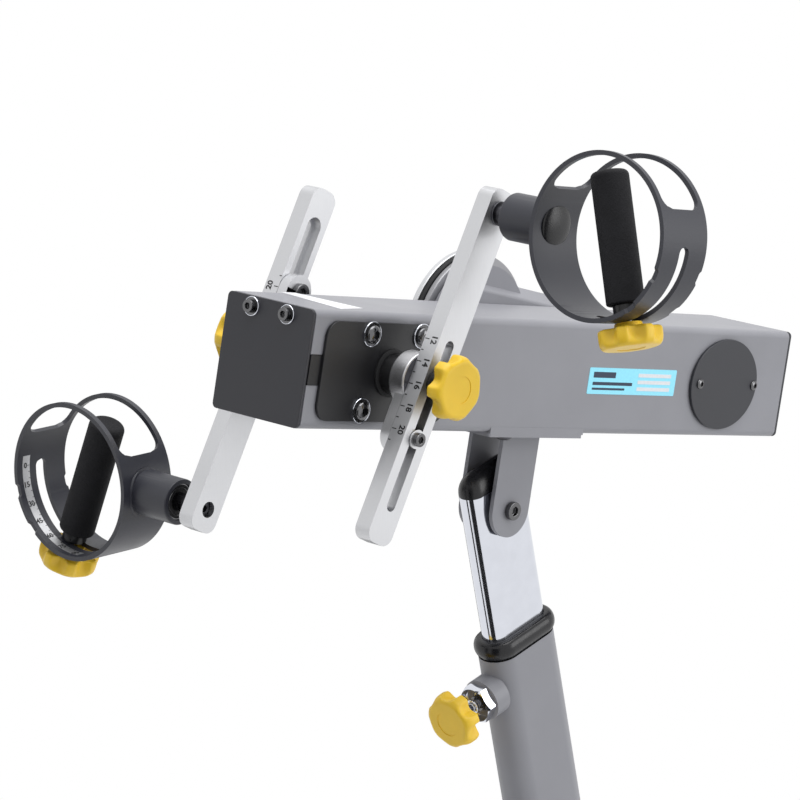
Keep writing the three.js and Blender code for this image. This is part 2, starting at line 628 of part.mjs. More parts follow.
// A bridge across the box that carries the near bearing of the lay shaft behind the oval hatch
function shaftBridge() {
  const y0 = -side + head.wall + gap + cover.lip;
  const reach = head.height / 2 - head.wall - gap;
  return box([layShaft.x - shaftBlock.radius, layShaft.x + shaftBlock.radius], [y0, y0 + shaftBlock.length],
    [-reach, reach]);
}

// Cover of the brake's drive side: a box whose top rises to the back and falls to the rear, with a round
// dome
function brakeHousing() {
  const b = brake;
  const from = side + gap;
  const block = (inset) => {
    const full = box([b.boxFront + inset, b.boxBack - inset], [from + inset, b.boxEnd - inset],
      [-b.boxDrop + inset, head.height]);
    const above = box([-head.length, head.length], [-head.width, head.width], [0, head.height]);
    above.rotateX(b.rise).rotateY(b.fall).translate(b.boxFront, from, b.boxTop - 2 * inset);
    return cut(full, above);
  };
  const dome = rod('y', b.dome, b.domeStart, b.boxEnd, b.x, b.z, sides.band);
  const domeHollow = rod('y', b.dome - b.wall, b.domeStart + b.wall, b.boxEnd + overrun, b.x, b.z,
    sides.band);
  const shaftPath = rod('y', rotor.bearing + gap, 0, b.boxEnd + overrun, b.x, b.z);
  return cut(join(block(0), dome), block(b.wall), domeHollow, shaftPath);
}

function buildBrake(body) {
  const b = brake;
  const frontAt = b.boxEnd + gap;
  const spacerAt = b.flangeEnd + gap;
  const backAt = b.spacerEnd + gap;
  const disc = (radius, from, to) => rod('y', radius, from, to, b.x, b.z, sides.band);
  const cavity = (from, to) => disc(b.cavity, from, to);
  add(body, 'brake_housing', brakeHousing(), finish.grey);
  add(body, 'brake_front_shell', cut(disc(b.flange, frontAt, b.flangeEnd), cavity(frontAt + b.wall,
    b.backEnd),
    rod('y', rotor.bearing + gap, 0, head.width, b.x, b.z)), finish.satin);
  add(body, 'brake_spacer', cut(disc(b.spacer, spacerAt, b.spacerEnd), cavity(0, b.backEnd)), finish.black);
  add(body, 'brake_back_shell', cut(disc(b.backFlange, backAt, b.backEnd), cavity(0, b.backEnd - b.wall)),
    finish.satin);
  const magnetAt = b.backEnd - b.wall - gap;
  const magnets = Array.from({ length: b.magnets }, (_, i) => {
    const angle = (2 * Math.PI * i) / b.magnets;
    return rod('y', b.magnetRadius, magnetAt - b.magnet, magnetAt, b.x + b.magnetCircle * Math.cos(angle),
      b.z + b.magnetCircle * Math.sin(angle), sides.pin);
  });
  const yoke = tube('y', b.magnetCircle + b.yokeHalf, b.magnetCircle - b.yokeHalf, magnetAt - b.yoke,
    magnetAt, b.x,
    b.z, sides.round);
  add(body, 'magnet_ring', join(magnets, yoke), finish.steel);

  const discAt = b.spacerEnd - gap - rotor.thickness;
  add(body, 'brake_rotor', join(
    disc(rotor.radius, discAt, discAt + rotor.thickness),
    rod('y', rotor.hub, b.boxEnd, discAt + gap, b.x, b.z),
    rod('y', rotor.shaft, pulley.plane - pulley.width / 2 - gap, discAt + gap, b.x, b.z),
    pulleySolid(pulley.plane, pulley.last, -gap, b.x, b.z),
  ), finish.steel);
}

// Crank and its two sides

const armInner = carrier.plateEnd + gap;
const armOuter = armInner + arm.thickness;

function carrierSolid() {
  const c = carrier;
  const shape = stadium(c.guideAt + 2 * c.halfWidth, 2 * c.halfWidth);
  const plate = prism('z', shape, 0, c.plateEnd - c.plateStart, sides.arc * 2);
  plate.rotateZ(Math.PI / 2).translate(0, -c.guideAt / 2, 0).rotateX(Math.PI / 2).translate(0,
    -c.plateStart, 0);
  const collarPart = rod('y', c.collarRadius, -c.collarStart, -c.plateEnd, 0, 0, sides.band);
  const eye = rod('y', axle.radius + gap, 0, -head.width, 0, 0, sides.round);
  const g = guideScrew;
  const face = -armOuter - gap;
  const guide = [
    rod('y', g.washerRadius, face, face - g.washer, 0, -c.guideAt, sides.boss),
    rod('y', g.headRadius, face, face - g.washer - g.head, 0, -c.guideAt, sides.pin),
    rod('y', g.radius, face - gap, -c.plateEnd + gap, 0, -c.guideAt, sides.pin),
  ];
  return join(cut(join(plate, collarPart), eye), guide);
}

function axleSolid() {
  const end = carrier.plateEnd;
  const bores = [-1, 1].map((way) =>
    rod('y', axle.boreRadius, way * (end - axle.boreDepth), way * (end + overrun), 0, 0, sides.pin));
  return cut(rod('y', axle.radius, -end, end, 0, 0, sides.round), bores);
}

function armSolid() {
  const a = arm;
  const shape = roundedRect([-a.width / 2, a.width / 2], [-a.farEnd, a.nearEnd], a.corner);
  const slot = new THREE.Path();
  slot.absarc(0, -a.slotStart - a.slotHalf, a.slotHalf, 0, Math.PI);
  slot.absarc(0, -a.slotEnd + a.slotHalf, a.slotHalf, Math.PI, 2 * Math.PI);
  shape.holes.push(slot);
  shape.holes.push(polygonShape(sides.boss, a.holeRadius));
  return asSolid(prism('y', shape, -armInner, -armOuter));
}

function armKnobSolid() {
  const seat = -armOuter - gap;
  const stud = rod('y', knob.studRadius, seat - armKnob.hub, -armInner + armKnob.stud, 0, 0, sides.pin);
  return join(starKnobAt('y', seat, armKnob), stud);
}

// The same star knob, pointing down its axis from a seat
const starKnobAt = (axis, seat, kind) => starKnob(axis, seat, -1, kind);

// Ring handle, centred on the band: X is the band's axis, +Y faces the crank arm
function ringSolid() {
  const r = ring;
  const far = r.radius + overrun;
  const near = r.radius - r.wall - overrun;
  const band = tube('x', r.radius, r.radius - r.wall, -r.width / 2, r.width / 2, 0, 0, sides.band);
  const boss = rod('y', r.bossRadius, r.radius - r.wall, r.bossEnd, 0, 0, sides.round);
  const hollow = rod('x', r.radius - r.wall, -r.width, r.width, 0, 0, sides.band);
  const bore = rod('y', r.boreRadius, 0, r.fromArm + overrun, 0, 0, sides.tube);
  const up = Math.PI / 2;
  const window = prism('x', sectorShape(near, far, up - r.windowReach, up + r.windowReach),
    -r.windowHalf, r.windowHalf);
  const slot = prism('x', sectorShape(near, far, Math.PI + r.slotFrom, Math.PI + r.slotTo), -r.slotHalf,
    r.slotHalf);
  const notches = r.notchAt.flatMap((angle) => [-1, 1].map((way) => {
    const cutter = box(ordered(way * (r.width / 2 - r.notch), way * (r.width / 2 + overrun)),
      [near, far], [-r.notchLength / 2, r.notchLength / 2]);
    return cutter.rotateX(Math.PI + angle);
  }));
  return cut(join(band, cut(boss, hollow)), bore, window, slot, notches);
}

function ringBearings() {
  const b = ringBearing;
  const at = [ring.bossEnd - b.inset, ring.radius - ring.wall + b.inset + plug.stem + b.width];
  const races = at.map((y) => tube('y', ring.boreRadius - gap, b.inner, y, y - b.width));
  const spacer = tube('y', ring.boreRadius - gap, ring.boreRadius - 2 * b.inset, at[0] - b.width + gap,
    at[1] - gap);
  return join(races, spacer);
}

function spindleSolid() {
  const s = spindle;
  const inside = ring.radius - ring.wall + ringBearing.inset + plug.stem;
  const end = ring.fromArm + gap;
  return join(
    rod('y', s.headRadius, inside - gap, inside - gap - s.head, 0, 0, sides.boss),
    rod('y', s.radius, inside - s.head, end, 0, 0, sides.pin),
    rod('y', s.tipRadius, end - gap, end + s.tip, 0, 0, sides.pin),
  );
}

function plugSolid() {
  const p = plug;
  const seat = ring.radius - ring.wall - gap;
  const ballRadius = (p.radius ** 2 + p.dome ** 2) / (2 * p.dome);
  const ball = new THREE.SphereGeometry(ballRadius, sides.round, sides.tube);
  ball.rotateX(Math.PI / 2).translate(0, seat - p.dome + ballRadius, 0);
  const disc = rod('y', p.radius, seat - p.dome - overrun, ring.radius, 0, 0, sides.round);
  const hollow = rod('x', seat, -ring.width, ring.width, 0, 0, sides.band);
  const stem = tube('y', ring.boreRadius - gap, ring.boreRadius - 2 * gap - ring.wall / 2, seat - gap,
    seat + ring.wall);
  return join(common(common(ball, disc), hollow), stem);
}

// Grip and its knob lie along the band's -Z, ready to be turned to their mark
function gripCore() {
  const g = grip;
  const neck = rod('z', g.neckRadius, -g.bottom, -g.neckEnd, 0, 0, sides.boss);
  const rodPart = rod('z', g.core, g.top - g.cap, -g.bottom - gap, 0, 0, sides.boss);
  const tap = rod('z', knob.studRadius + 2 * gap, -g.neckEnd - overrun, -g.neckEnd + g.tapDepth, 0, 0,
    sides.boss);
  return cut(join(neck, rodPart), tap);
}

function gripFoam() {
  const g = grip;
  const end = g.bottom - gap;
  const profile = [[0, -end], [g.radius - g.cap, -end], [g.radius, -end + g.cap], [g.radius,
    g.top - 2 * g.cap],
    [g.radius - g.cap, g.top - g.cap / 2], [g.radius - 3 * g.cap, g.top + g.cap / 2], [0,
      g.top + g.cap / 2]];
  const points = profile.map(([r, z]) => new THREE.Vector2(r, z));
  const body = new THREE.LatheGeometry(points, sides.tube).rotateX(Math.PI / 2);
  return cut(body, rod('z', g.core + gap, -end - overrun, g.top - g.cap + gap, 0, 0, sides.boss));
}

function gripKnobSolid() {
  const seat = -ring.radius - gap;
  const stud = rod('z', knob.studRadius, seat - gripKnob.hub, -grip.neckEnd + grip.tapDepth - overrun, 0,
    0, sides.pin);
  return join(starKnobAt('z', seat, gripKnob), stud);
}

// One side of the crank: arm, clamp knob and ring handle
function buildSide(crank, name, ringTurn) {
  const whole = frame(crank);
  add(whole, `carrier_${name}`, carrierSolid(), finish.satin);
  add(whole, `arm_knob_${name}`, armKnobSolid(), finish.yellow);
  const sliding = frame(whole, 0, 0, arm.radiusNow);
  add(sliding, `crank_arm_${name}`, armSolid(), finish.satin);
  const hand = frame(sliding, 0, -armOuter - gap - ring.fromArm, 0);
  hand.rotation.y = ringTurn;
  add(hand, `ring_${name}`, ringSolid(), finish.slate);
  add(hand, `ring_bearings_${name}`, ringBearings(), finish.steel);
  add(hand, `ring_spindle_${name}`, spindleSolid(), finish.steel);
  add(hand, `ring_plug_${name}`, plugSolid(), finish.black);
  const swivel = frame(hand);
  swivel.rotation.x = stance.gripMark - Math.PI / 2;
  add(swivel, `grip_core_${name}`, gripCore(), finish.steel);
  add(swivel, `grip_foam_${name}`, gripFoam(), finish.foam);
  add(swivel, `grip_knob_${name}`, gripKnobSolid(), finish.yellow);
  return whole;
}

function buildCrank(body) {
  const crank = frame(body);
  crank.rotation.y = stance.crankAngle;
  add(crank, 'crank_axle', axleSolid(), finish.steel);
  add(crank, 'drive_pulley', pulleySolid(-pulley.plane, pulley.drive, axle.radius), finish.black);
  buildSide(crank, 'near', -stance.crankAngle + stance.nearRingTurn);
  const far = buildSide(crank, 'far', Math.PI + stance.crankAngle - stance.farRingTurn);
  far.rotation.x = Math.PI;
}

function buildHead(machine) {
  const tilt = frame(machine, 0, 0, stance.pivotHeight);
  tilt.rotation.y = stance.headTilt;
  const body = frame(tilt, -bracket.pivotX, 0, bracket.pivotDrop);
  add(body, 'head_shell', headShell(), finish.grey);
  buildEnds(body);
  buildBearingPlates(body);
  buildCover(body);
  buildBracket(body);
  buildDrive(body);
  buildBrake(body);
  buildCrank(body);
}

const machine = new THREE.Group();
buildStand(machine);
buildMast(machine);
buildHead(machine);

// The origin is on the floor, under the middle of the whole machine
machine.updateMatrixWorld(true);
const bounds = new THREE.Box3().setFromObject(machine, true);
const middle = bounds.getCenter(new THREE.Vector3());
machine.position.set(-middle.x, -middle.y, -bounds.min.z);

export default machine;
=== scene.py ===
import json
from math import atan2, cos, pi, radians, sin, sqrt, tan
from types import SimpleNamespace as Sizes
import bpy
import bmesh
from mathutils import Matrix, Vector


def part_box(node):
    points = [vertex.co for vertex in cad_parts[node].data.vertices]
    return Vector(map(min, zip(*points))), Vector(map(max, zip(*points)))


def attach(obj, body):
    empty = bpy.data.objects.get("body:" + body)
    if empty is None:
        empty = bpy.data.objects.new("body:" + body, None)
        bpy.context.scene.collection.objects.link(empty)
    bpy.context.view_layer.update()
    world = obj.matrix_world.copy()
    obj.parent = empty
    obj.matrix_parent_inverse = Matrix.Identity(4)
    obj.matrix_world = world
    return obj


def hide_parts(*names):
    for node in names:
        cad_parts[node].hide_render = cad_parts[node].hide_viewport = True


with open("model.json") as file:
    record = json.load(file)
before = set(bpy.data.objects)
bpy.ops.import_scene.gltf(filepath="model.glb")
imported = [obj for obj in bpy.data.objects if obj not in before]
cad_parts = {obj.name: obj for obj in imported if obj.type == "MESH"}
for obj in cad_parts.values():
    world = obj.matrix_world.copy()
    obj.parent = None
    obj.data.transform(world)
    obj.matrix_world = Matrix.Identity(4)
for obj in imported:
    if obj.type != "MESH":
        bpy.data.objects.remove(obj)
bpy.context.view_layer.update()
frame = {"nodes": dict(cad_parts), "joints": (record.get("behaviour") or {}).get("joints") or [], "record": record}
joints = {j["name"]: j for j in frame["joints"]}
sidesOfCrank = ("near", "far")
print("frame loaded with", len(frame["nodes"]), "nodes")


# Frames: each piece is made in millimetres in the frame of what carries it, then placed in metres

def frameOf(origin, x=None, y=None, z=None):
    x = Vector(x).normalized() if x else Vector(y).cross(Vector(z)).normalized()
    y = Vector(y).normalized() if y else Vector(z).cross(x).normalized()
    z = x.cross(y).normalized()
    turn = Matrix((x, y, z)).transposed().to_4x4()
    return Matrix.Translation(Vector(origin)) @ turn @ Matrix.Scale(0.001, 4)


across = (0, 1, 0)
headTop = next(m for m in frame["record"]["mounts"] if m["name"] == "head_top")
headFrame = frameOf(joints["crank_spin"]["pos_m"], y=across, z=headTop["axis"])
mastFrame = frameOf(joints["head_tilt"]["pos_m"], y=across, z=joints["mast_slide"]["axis"])
crankFrame, armFrame, ringFrame, gripFrame = {}, {}, {}, {}
for side in sidesOfCrank:
    sideways = across if side == "near" else (0, -1, 0)
    armAxis = joints[f"arm_{side}_slide"]["axis"]
    crankFrame[side] = frameOf(joints["crank_spin"]["pos_m"], y=sideways, z=armAxis)
    armFrame[side] = frameOf(joints[f"handle_{side}_spin"]["pos_m"], y=sideways, z=armAxis)
    ringAxis = joints[f"grip_{side}_swivel"]["axis"]
    ringFrame[side] = frameOf(joints[f"grip_{side}_swivel"]["pos_m"], x=ringAxis, y=sideways)
    lockAxis = Vector(joints[f"lock_{side}_turn"]["axis"])
    gripFrame[side] = frameOf(joints[f"lock_{side}_turn"]["pos_m"], x=ringAxis, z=-lockAxis)

# Camera where the photograph was taken from, given in the head's frame
camera = Sizes(spot=(-2629, -2362.8, 365), right=(0.6627, -0.7342, 0.1478),
    ahead=(0.7488, 0.6537, -0.1097), lens=189, clipEnd=50)


def addCamera():
    bpy.ops.object.camera_add()
    cam = bpy.context.object
    turn = headFrame.to_3x3().normalized()
    right = turn @ Vector(camera.right)
    back = -(turn @ Vector(camera.ahead))
    pose = Matrix((right, back.cross(right), back)).transposed().to_4x4()
    cam.matrix_world = Matrix.Translation(headFrame @ Vector(camera.spot)) @ pose
    cam.data.lens = camera.lens
    cam.data.clip_end = camera.clipEnd
    bpy.context.scene.camera = cam


addCamera()
print("camera placed")


# Modelling helpers

def clearSelection():
    if bpy.context.mode != "OBJECT":
        bpy.ops.object.mode_set(mode="OBJECT")
    bpy.ops.object.select_all(action="DESELECT")


def pick(obj):
    clearSelection()
    obj.select_set(True)
    bpy.context.view_layer.objects.active = obj


def settle(obj):
    pick(obj)
    bpy.ops.object.transform_apply(location=True, rotation=True, scale=True)
    return obj


def useModifier(obj, kind, **values):
    pick(obj)
    modifier = obj.modifiers.new(kind, kind)
    for key, value in values.items():
        setattr(modifier, key, value)
    bpy.ops.object.modifier_apply(modifier=modifier.name)
    return obj


def startEdit(obj, action="SELECT"):
    pick(obj)
    bpy.ops.object.mode_set(mode="EDIT")
    bpy.ops.mesh.select_all(action=action)


def leaveEdit():
    bpy.ops.object.mode_set(mode="OBJECT")


def leaveOutward():
    bpy.ops.mesh.select_all(action="SELECT")
    bpy.ops.mesh.normals_make_consistent(inside=False)
    leaveEdit()


def extrudeBy(step):
    bpy.ops.mesh.extrude_region_move(TRANSFORM_OT_translate={"value": step})


def selectParts(obj, kind, test):
    # kind: EDGE or FACE; the mesh stays in edit mode with the parts that pass the test selected
    startEdit(obj, "DESELECT")
    bpy.ops.mesh.select_mode(type=kind)
    mesh = bmesh.from_edit_mesh(obj.data)
    mesh.normal_update()
    for part in mesh.edges if kind == "EDGE" else mesh.faces:
        part.select_set(test(part))
    mesh.select_flush_mode()
    bmesh.update_edit_mesh(obj.data)


turns = {"X": (0, pi / 2, 0), "Y": (pi / 2, 0, 0), "Z": (0, 0, 0)}
tiny = 0.001
# outlines that are spun into solids end just beside the axis
nearAxis = 0.01


def spotOn(axis, along, u, v):
    return {"X": (along, u, v), "Y": (u, along, v), "Z": (u, v, along)}[axis]


def rod(axis, radius, start, end, u=0, v=0, sides=64, radiusEnd=None):
    clearSelection()
    depth = abs(end - start)
    place = spotOn(axis, (start + end) / 2, u, v)
    if radiusEnd is None:
        bpy.ops.mesh.primitive_cylinder_add(vertices=sides, radius=radius, depth=depth, location=place,
            rotation=turns[axis])
    else:
        turn = Vector(spotOn(axis, end - start, 0, 0)).to_track_quat("Z", "Y").to_euler()
        bpy.ops.mesh.primitive_cone_add(vertices=sides, radius1=radius, radius2=radiusEnd, depth=depth,
            location=place, rotation=turn)
    return settle(bpy.context.object)


def block(x, y, z, corner=0, along="Z", steps=8):
    clearSelection()
    size = [abs(b - a) for a, b in (x, y, z)]
    middle = [(a + b) / 2 for a, b in (x, y, z)]
    bpy.ops.mesh.primitive_cube_add(size=1, location=middle, scale=size)
    obj = settle(bpy.context.object)
    if corner:
        way = Vector(spotOn(along, 1, 0, 0))

        def runsAlong(edge):
            direction = (edge.verts[1].co - edge.verts[0].co).normalized()
            return abs(direction.dot(way)) > 0.99

        selectParts(obj, "EDGE", runsAlong)
        bpy.ops.mesh.bevel(offset=corner, segments=steps, affect="EDGES")
        bpy.ops.mesh.select_all(action="SELECT")
        bpy.ops.mesh.remove_doubles(threshold=tiny)
        leaveEdit()
    return obj


def combine(obj, operation, tools):
    for tool in tools:
        useModifier(obj, "BOOLEAN", object=tool, operation=operation, solver="EXACT")
        bpy.data.objects.remove(tool)
    return obj


def cutAway(obj, *tools):
    return combine(obj, "DIFFERENCE", tools)


def weld(obj, *others):
    return combine(obj, "UNION", others)


def keepCommon(obj, tool):
    return combine(obj, "INTERSECT", (tool,))


def gather(obj, *others):
    pick(obj)
    for other in others:
        other.select_set(True)
    bpy.ops.object.join()
    return obj


def soften(obj, width, steps=2, angle=35):
    return useModifier(obj, "BEVEL", width=width, segments=steps, limit_method="ANGLE",
        angle_limit=radians(angle))


def drawOutline(points):
    # one vertex after another, extruded from a single corner of a plane
    clearSelection()
    bpy.ops.mesh.primitive_plane_add(size=1)
    obj = bpy.context.object
    startEdit(obj)
    bpy.ops.mesh.select_mode(type="VERT")
    bpy.ops.mesh.merge(type="CENTER")
    bpy.ops.transform.translate(value=points[0])
    for last, point in zip(points, points[1:]):
        extrudeBy(Vector(point) - Vector(last))
    bpy.ops.mesh.select_all(action="SELECT")
    return obj


def spun(profile, axis="Y", steps=96, u=0, v=0):
    # profile: (radius, place along the axis), from one end of the outline to the other
    obj = drawOutline([(r, 0, h) for r, h in profile])
    bpy.ops.mesh.spin(steps=steps, angle=2 * pi, center=(0, 0, 0), axis=(0, 0, 1))
    bpy.ops.mesh.select_all(action="SELECT")
    bpy.ops.mesh.remove_doubles(threshold=tiny)
    leaveOutward()
    toAxis = {"X": Matrix.Rotation(pi / 2, 4, "Y"), "Y": Matrix.Rotation(-pi / 2, 4, "X"),
        "Z": Matrix.Identity(4)}[axis]
    obj.data.transform(Matrix.Translation(Vector(spotOn(axis, 0, u, v))) @ toAxis)
    return obj


def hoop(profile, *place):
    # a ring with an open middle: its outline comes back to where it starts
    return spun(profile + profile[:1], *place)


def finishPiece(obj, name, where, finish, body, stands=None, smooth=30):
    pick(obj)
    obj.name = name
    obj.data.name = name
    obj.data.transform(where)
    if smooth:
        # large flat faces keep their own direction beside rounded edges
        bpy.ops.object.shade_smooth_by_angle(angle=radians(smooth))
        useModifier(obj, "WEIGHTED_NORMAL", keep_sharp=True, weight=80)
    obj.data.materials.clear()
    obj.data.materials.append(finish)
    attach(obj, body)
    if stands:
        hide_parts(stands)


def headPiece(obj, name, finish, stands=None, smooth=30):
    finishPiece(obj, name, headFrame, finish, "head", stands, smooth)


def mastPiece(obj, name, finish, body, stands=None, smooth=30):
    finishPiece(obj, name, mastFrame, finish, body, stands, smooth)


def sidePiece(obj, name, side, frames, finish, body, stands=None, smooth=30):
    rides = body if body == "crank" else f"{body}_{side}"
    node = f"{stands}_{side}" if stands else None
    finishPiece(obj, f"{name}_{side}", frames[side], finish, rides, node, smooth)


# Finishes: every surface has its own grain, read in object coordinates

def newFinish(name):
    finish = bpy.data.materials.new(name)
    finish.use_nodes = True
    return finish, finish.node_tree.nodes["Principled BSDF"]


def setInputs(node, values):
    for key, value in values.items():
        node.inputs[key].default_value = value


def addNode(near, kind, values):
    # a node or a socket knows the tree that it is in
    node = near.id_data.nodes.new("ShaderNode" + kind)
    setInputs(node, values)
    return node


def wire(source, target):
    source.id_data.links.new(source, target)


def grain(shader, scale, detail=3, stretch=(1, 1, 1)):
    place = addNode(shader, "TexCoord", {})
    mapping = addNode(shader, "Mapping", {"Scale": stretch})
    noise = addNode(shader, "TexNoise", {"Scale": scale, "Detail": detail, "Roughness": 0.55})
    wire(place.outputs["Object"], mapping.inputs["Vector"])
    wire(mapping.outputs["Vector"], noise.inputs["Vector"])
    return noise.outputs["Fac"]


def spread(source, low, high):
    # the middle of the noise stretched to the range that is wanted
    ramp = addNode(source, "MapRange", {"From Min": 0.3, "From Max": 0.7, "To Min": low, "To Max": high})
    wire(source, ramp.inputs["Value"])
    return ramp.outputs["Result"]


def tint(shader, source, color, change):
    # inputs 6 and 7 of a mix are its two colours, and output 2 is the mixed one
    mix = addNode(shader, "Mix", {})
    mix.data_type = "RGBA"
    mix.inputs[6].default_value = [c * (1 - change) for c in color] + [1]
    mix.inputs[7].default_value = [min(1, c * (1 + change)) for c in color] + [1]
    wire(spread(source, 0, 1), mix.inputs[0])
    wire(mix.outputs[2], shader.inputs["Base Color"])


def roughen(shader, source, low, high):
    wire(spread(source, low, high), shader.inputs["Roughness"])


def bump(shader, source, distance, strength=1.0):
    relief = addNode(shader, "Bump", {"Strength": strength, "Distance": distance})
    wire(source, relief.inputs["Height"])
    wire(relief.outputs["Normal"], shader.inputs["Normal"])


def surface(name, color, change, tints, roughs, bumps, rough, depth, strength=1.0, inputs=None):
    # tints, roughs and bumps: the grain of the colour, of the roughness and of the relief
    finish, shader = newFinish(name)
    tint(shader, grain(shader, *tints), color, change)
    roughen(shader, grain(shader, *roughs), *rough)
    setInputs(shader, inputs or {})
    bump(shader, grain(shader, *bumps), depth, strength)
    return finish


def coated(name, color, rough):
    # powder coat: fine orange peel and a faint unevenness of colour
    cloud = (14, 4)
    return surface(name, color, 0.05, cloud, cloud, (1400, 2), (rough - 0.05, rough + 0.06), 0.00005)


def brushed(name, color, rough, stretch=(1, 1, 0.03), scale=2600, depth=0.00002, change=0.06):
    # metal with fine lines that run along one direction
    lines = (scale, 2, stretch)
    return surface(name, color, change, lines, (30, 3), lines, (rough - 0.04, rough + 0.07), depth,
        inputs={"Metallic": 1})


def polished(name, color):
    cloud = (60, 4)
    return surface(name, color, 0.03, cloud, cloud, (35, 2), (0.06, 0.11), 0.00003, 0.6, {"Metallic": 1})


def moulded(name, color, rough, change=0.05, texture=0.00004, scale=900, soft=0.0):
    skin = (scale, 3)
    inputs = {"Specular IOR Level": 0.45}
    if soft:
        inputs.update({"Subsurface Weight": soft, "Subsurface Radius": (0.004, 0.002, 0.001)})
    return surface(name, color, change, (40, 4), skin, skin, (rough - 0.05, rough + 0.07), texture,
        inputs=inputs)


def foamed(name, color):
    # closed-cell foam: small pits under a dull skin
    finish, shader = newFinish(name)
    place = addNode(shader, "TexCoord", {})
    cells = addNode(shader, "TexVoronoi", {"Scale": 900})
    wire(place.outputs["Object"], cells.inputs["Vector"])
    tint(shader, grain(shader, 80, 4), color, 0.18)
    setInputs(shader, {"Roughness": 0.82, "Specular IOR Level": 0.3})
    bump(shader, cells.outputs["Distance"], 0.0003, 0.8)
    return finish


def printed(name, color, rough):
    finish, shader = newFinish(name)
    cloud = grain(shader, 400, 3)
    tint(shader, cloud, color, 0.04)
    setInputs(shader, {"Roughness": rough})
    bump(shader, cloud, 0.00001)
    return finish


def linear(r, g, b):
    return tuple(((c / 255 + 0.055) / 1.055) ** 2.4 if c > 10.3 else c / 255 / 12.92 for c in (r, g, b))


greyPaint = coated("greyPowderCoat", linear(139, 139, 144.5), 0.42)
darkPaint = coated("darkPowderCoat", linear(40, 40.5, 47), 0.4)
blackPaint = coated("blackPowderCoat", linear(23, 23, 26), 0.42)
coverPaint = coated("coverPowderCoat", linear(42, 43, 49), 0.4)
slatePaint = coated("slatePowderCoat", linear(47, 48, 56), 0.36)
chromePlate = polished("chromePlate", (0.69, 0.71, 0.77))
satinAluminium = brushed("satinAluminium", (0.6, 0.605, 0.622), 0.4, depth=0.000006, change=0.02)
turnedSteel = brushed("turnedSteel", (0.58, 0.585, 0.6), 0.24, stretch=(1, 0.05, 1))
boltSteel = brushed("boltSteel", (0.15, 0.15, 0.155), 0.14, stretch=(1, 0.2, 1), scale=3000,
    depth=0.000008)
noseSteel = brushed("noseSteel", (0.11, 0.11, 0.115), 0.34, stretch=(1, 0.05, 1))
shellMetal = brushed("shellMetal", (0.33, 0.33, 0.345), 0.36, change=0.03)
machinedRing = brushed("machinedRing", (0.5, 0.5, 0.515), 0.34, stretch=(1, 0.3, 1), change=0.1)
darkSteel = brushed("darkSteel", (0.09, 0.09, 0.1), 0.28, stretch=(1, 0.2, 1), scale=3000)
yellowPlastic = moulded("yellowPlastic", linear(238, 197, 48), 0.38, 0.04, soft=0.06)
foamGrip = foamed("foamGrip", linear(26, 26, 29))
silverTape = brushed("silverTape", (0.62, 0.625, 0.64), 0.45, stretch=(1, 1, 1), scale=900)
blackPlastic = moulded("blackPlastic", linear(17, 17, 20), 0.3)
glossRubber = moulded("glossRubber", linear(19, 19, 23), 0.26, 0.06, 0.00002, 500)
blackRubber = moulded("blackRubber", linear(24, 24, 26), 0.7, 0.12, 0.00008, 600)
blackInk = printed("blackInk", linear(18, 18, 20), 0.4)
whiteInk = printed("whiteInk", linear(225, 226, 230), 0.4)
blueLabel = printed("blueLabel", linear(150, 232, 255), 0.3)
darkLabel = printed("darkLabel", linear(28, 44, 70), 0.3)
whiteLabel = printed("whiteLabel", linear(238, 238, 240), 0.3)
print("finishes made")


# Ring handles: a wide band with an open window, a slot for the grip and a boss towards the arm

def curvedCutter(stations, near, far, axisShift=0):
    # stations: (angle round X, half width along X); the cutter lies between two radii
    clearSelection()
    bpy.ops.mesh.primitive_grid_add(x_subdivisions=1, y_subdivisions=len(stations) - 1, size=2)
    obj = bpy.context.object
    for index, vertex in enumerate(obj.data.vertices):
        angle, half = stations[index // 2]
        vertex.co = (half if index % 2 else -half, near * cos(angle), near * sin(angle))
    startEdit(obj)
    extrudeBy((0, 0, 0))
    bpy.ops.transform.resize(value=(1, far / near, far / near), center_override=(0, 0, 0))
    bpy.ops.mesh.select_all(action="SELECT")
    bpy.ops.transform.translate(value=(axisShift, 0, 0))
    leaveOutward()
    return obj


def roundedStations(start, end, half, corner, radius, steps=8, middle=40):
    # half widths along an arc, drawn in at both ends by a corner radius
    stations = []
    for i in range(steps + 1):
        t = 1 - sin(pi / 2 * i / steps)
        inset = corner * t
        width = half - corner + sqrt(max(corner ** 2 - inset ** 2, 0.0001))
        stations.append(((corner - inset) / radius, max(width, 0.02)))
    out = [(start + a, w) for a, w in stations]
    span = end - start - 2 * corner / radius
    out += [(start + corner / radius + span * k / middle, half) for k in range(1, middle)]
    out += [(end - a, w) for a, w in reversed(stations)]
    return out


ring = Sizes(radius=70.2, inside=66.2, half=28.5, window=62, windowHalf=23.6, windowCorner=11, slotHalf=6,
    slot=(-3, 97), notch=(18, 48), notchDepth=2, notchLength=8, boss=20.3, bore=16.2, bossEnd=112.1,
    edge=0.8)


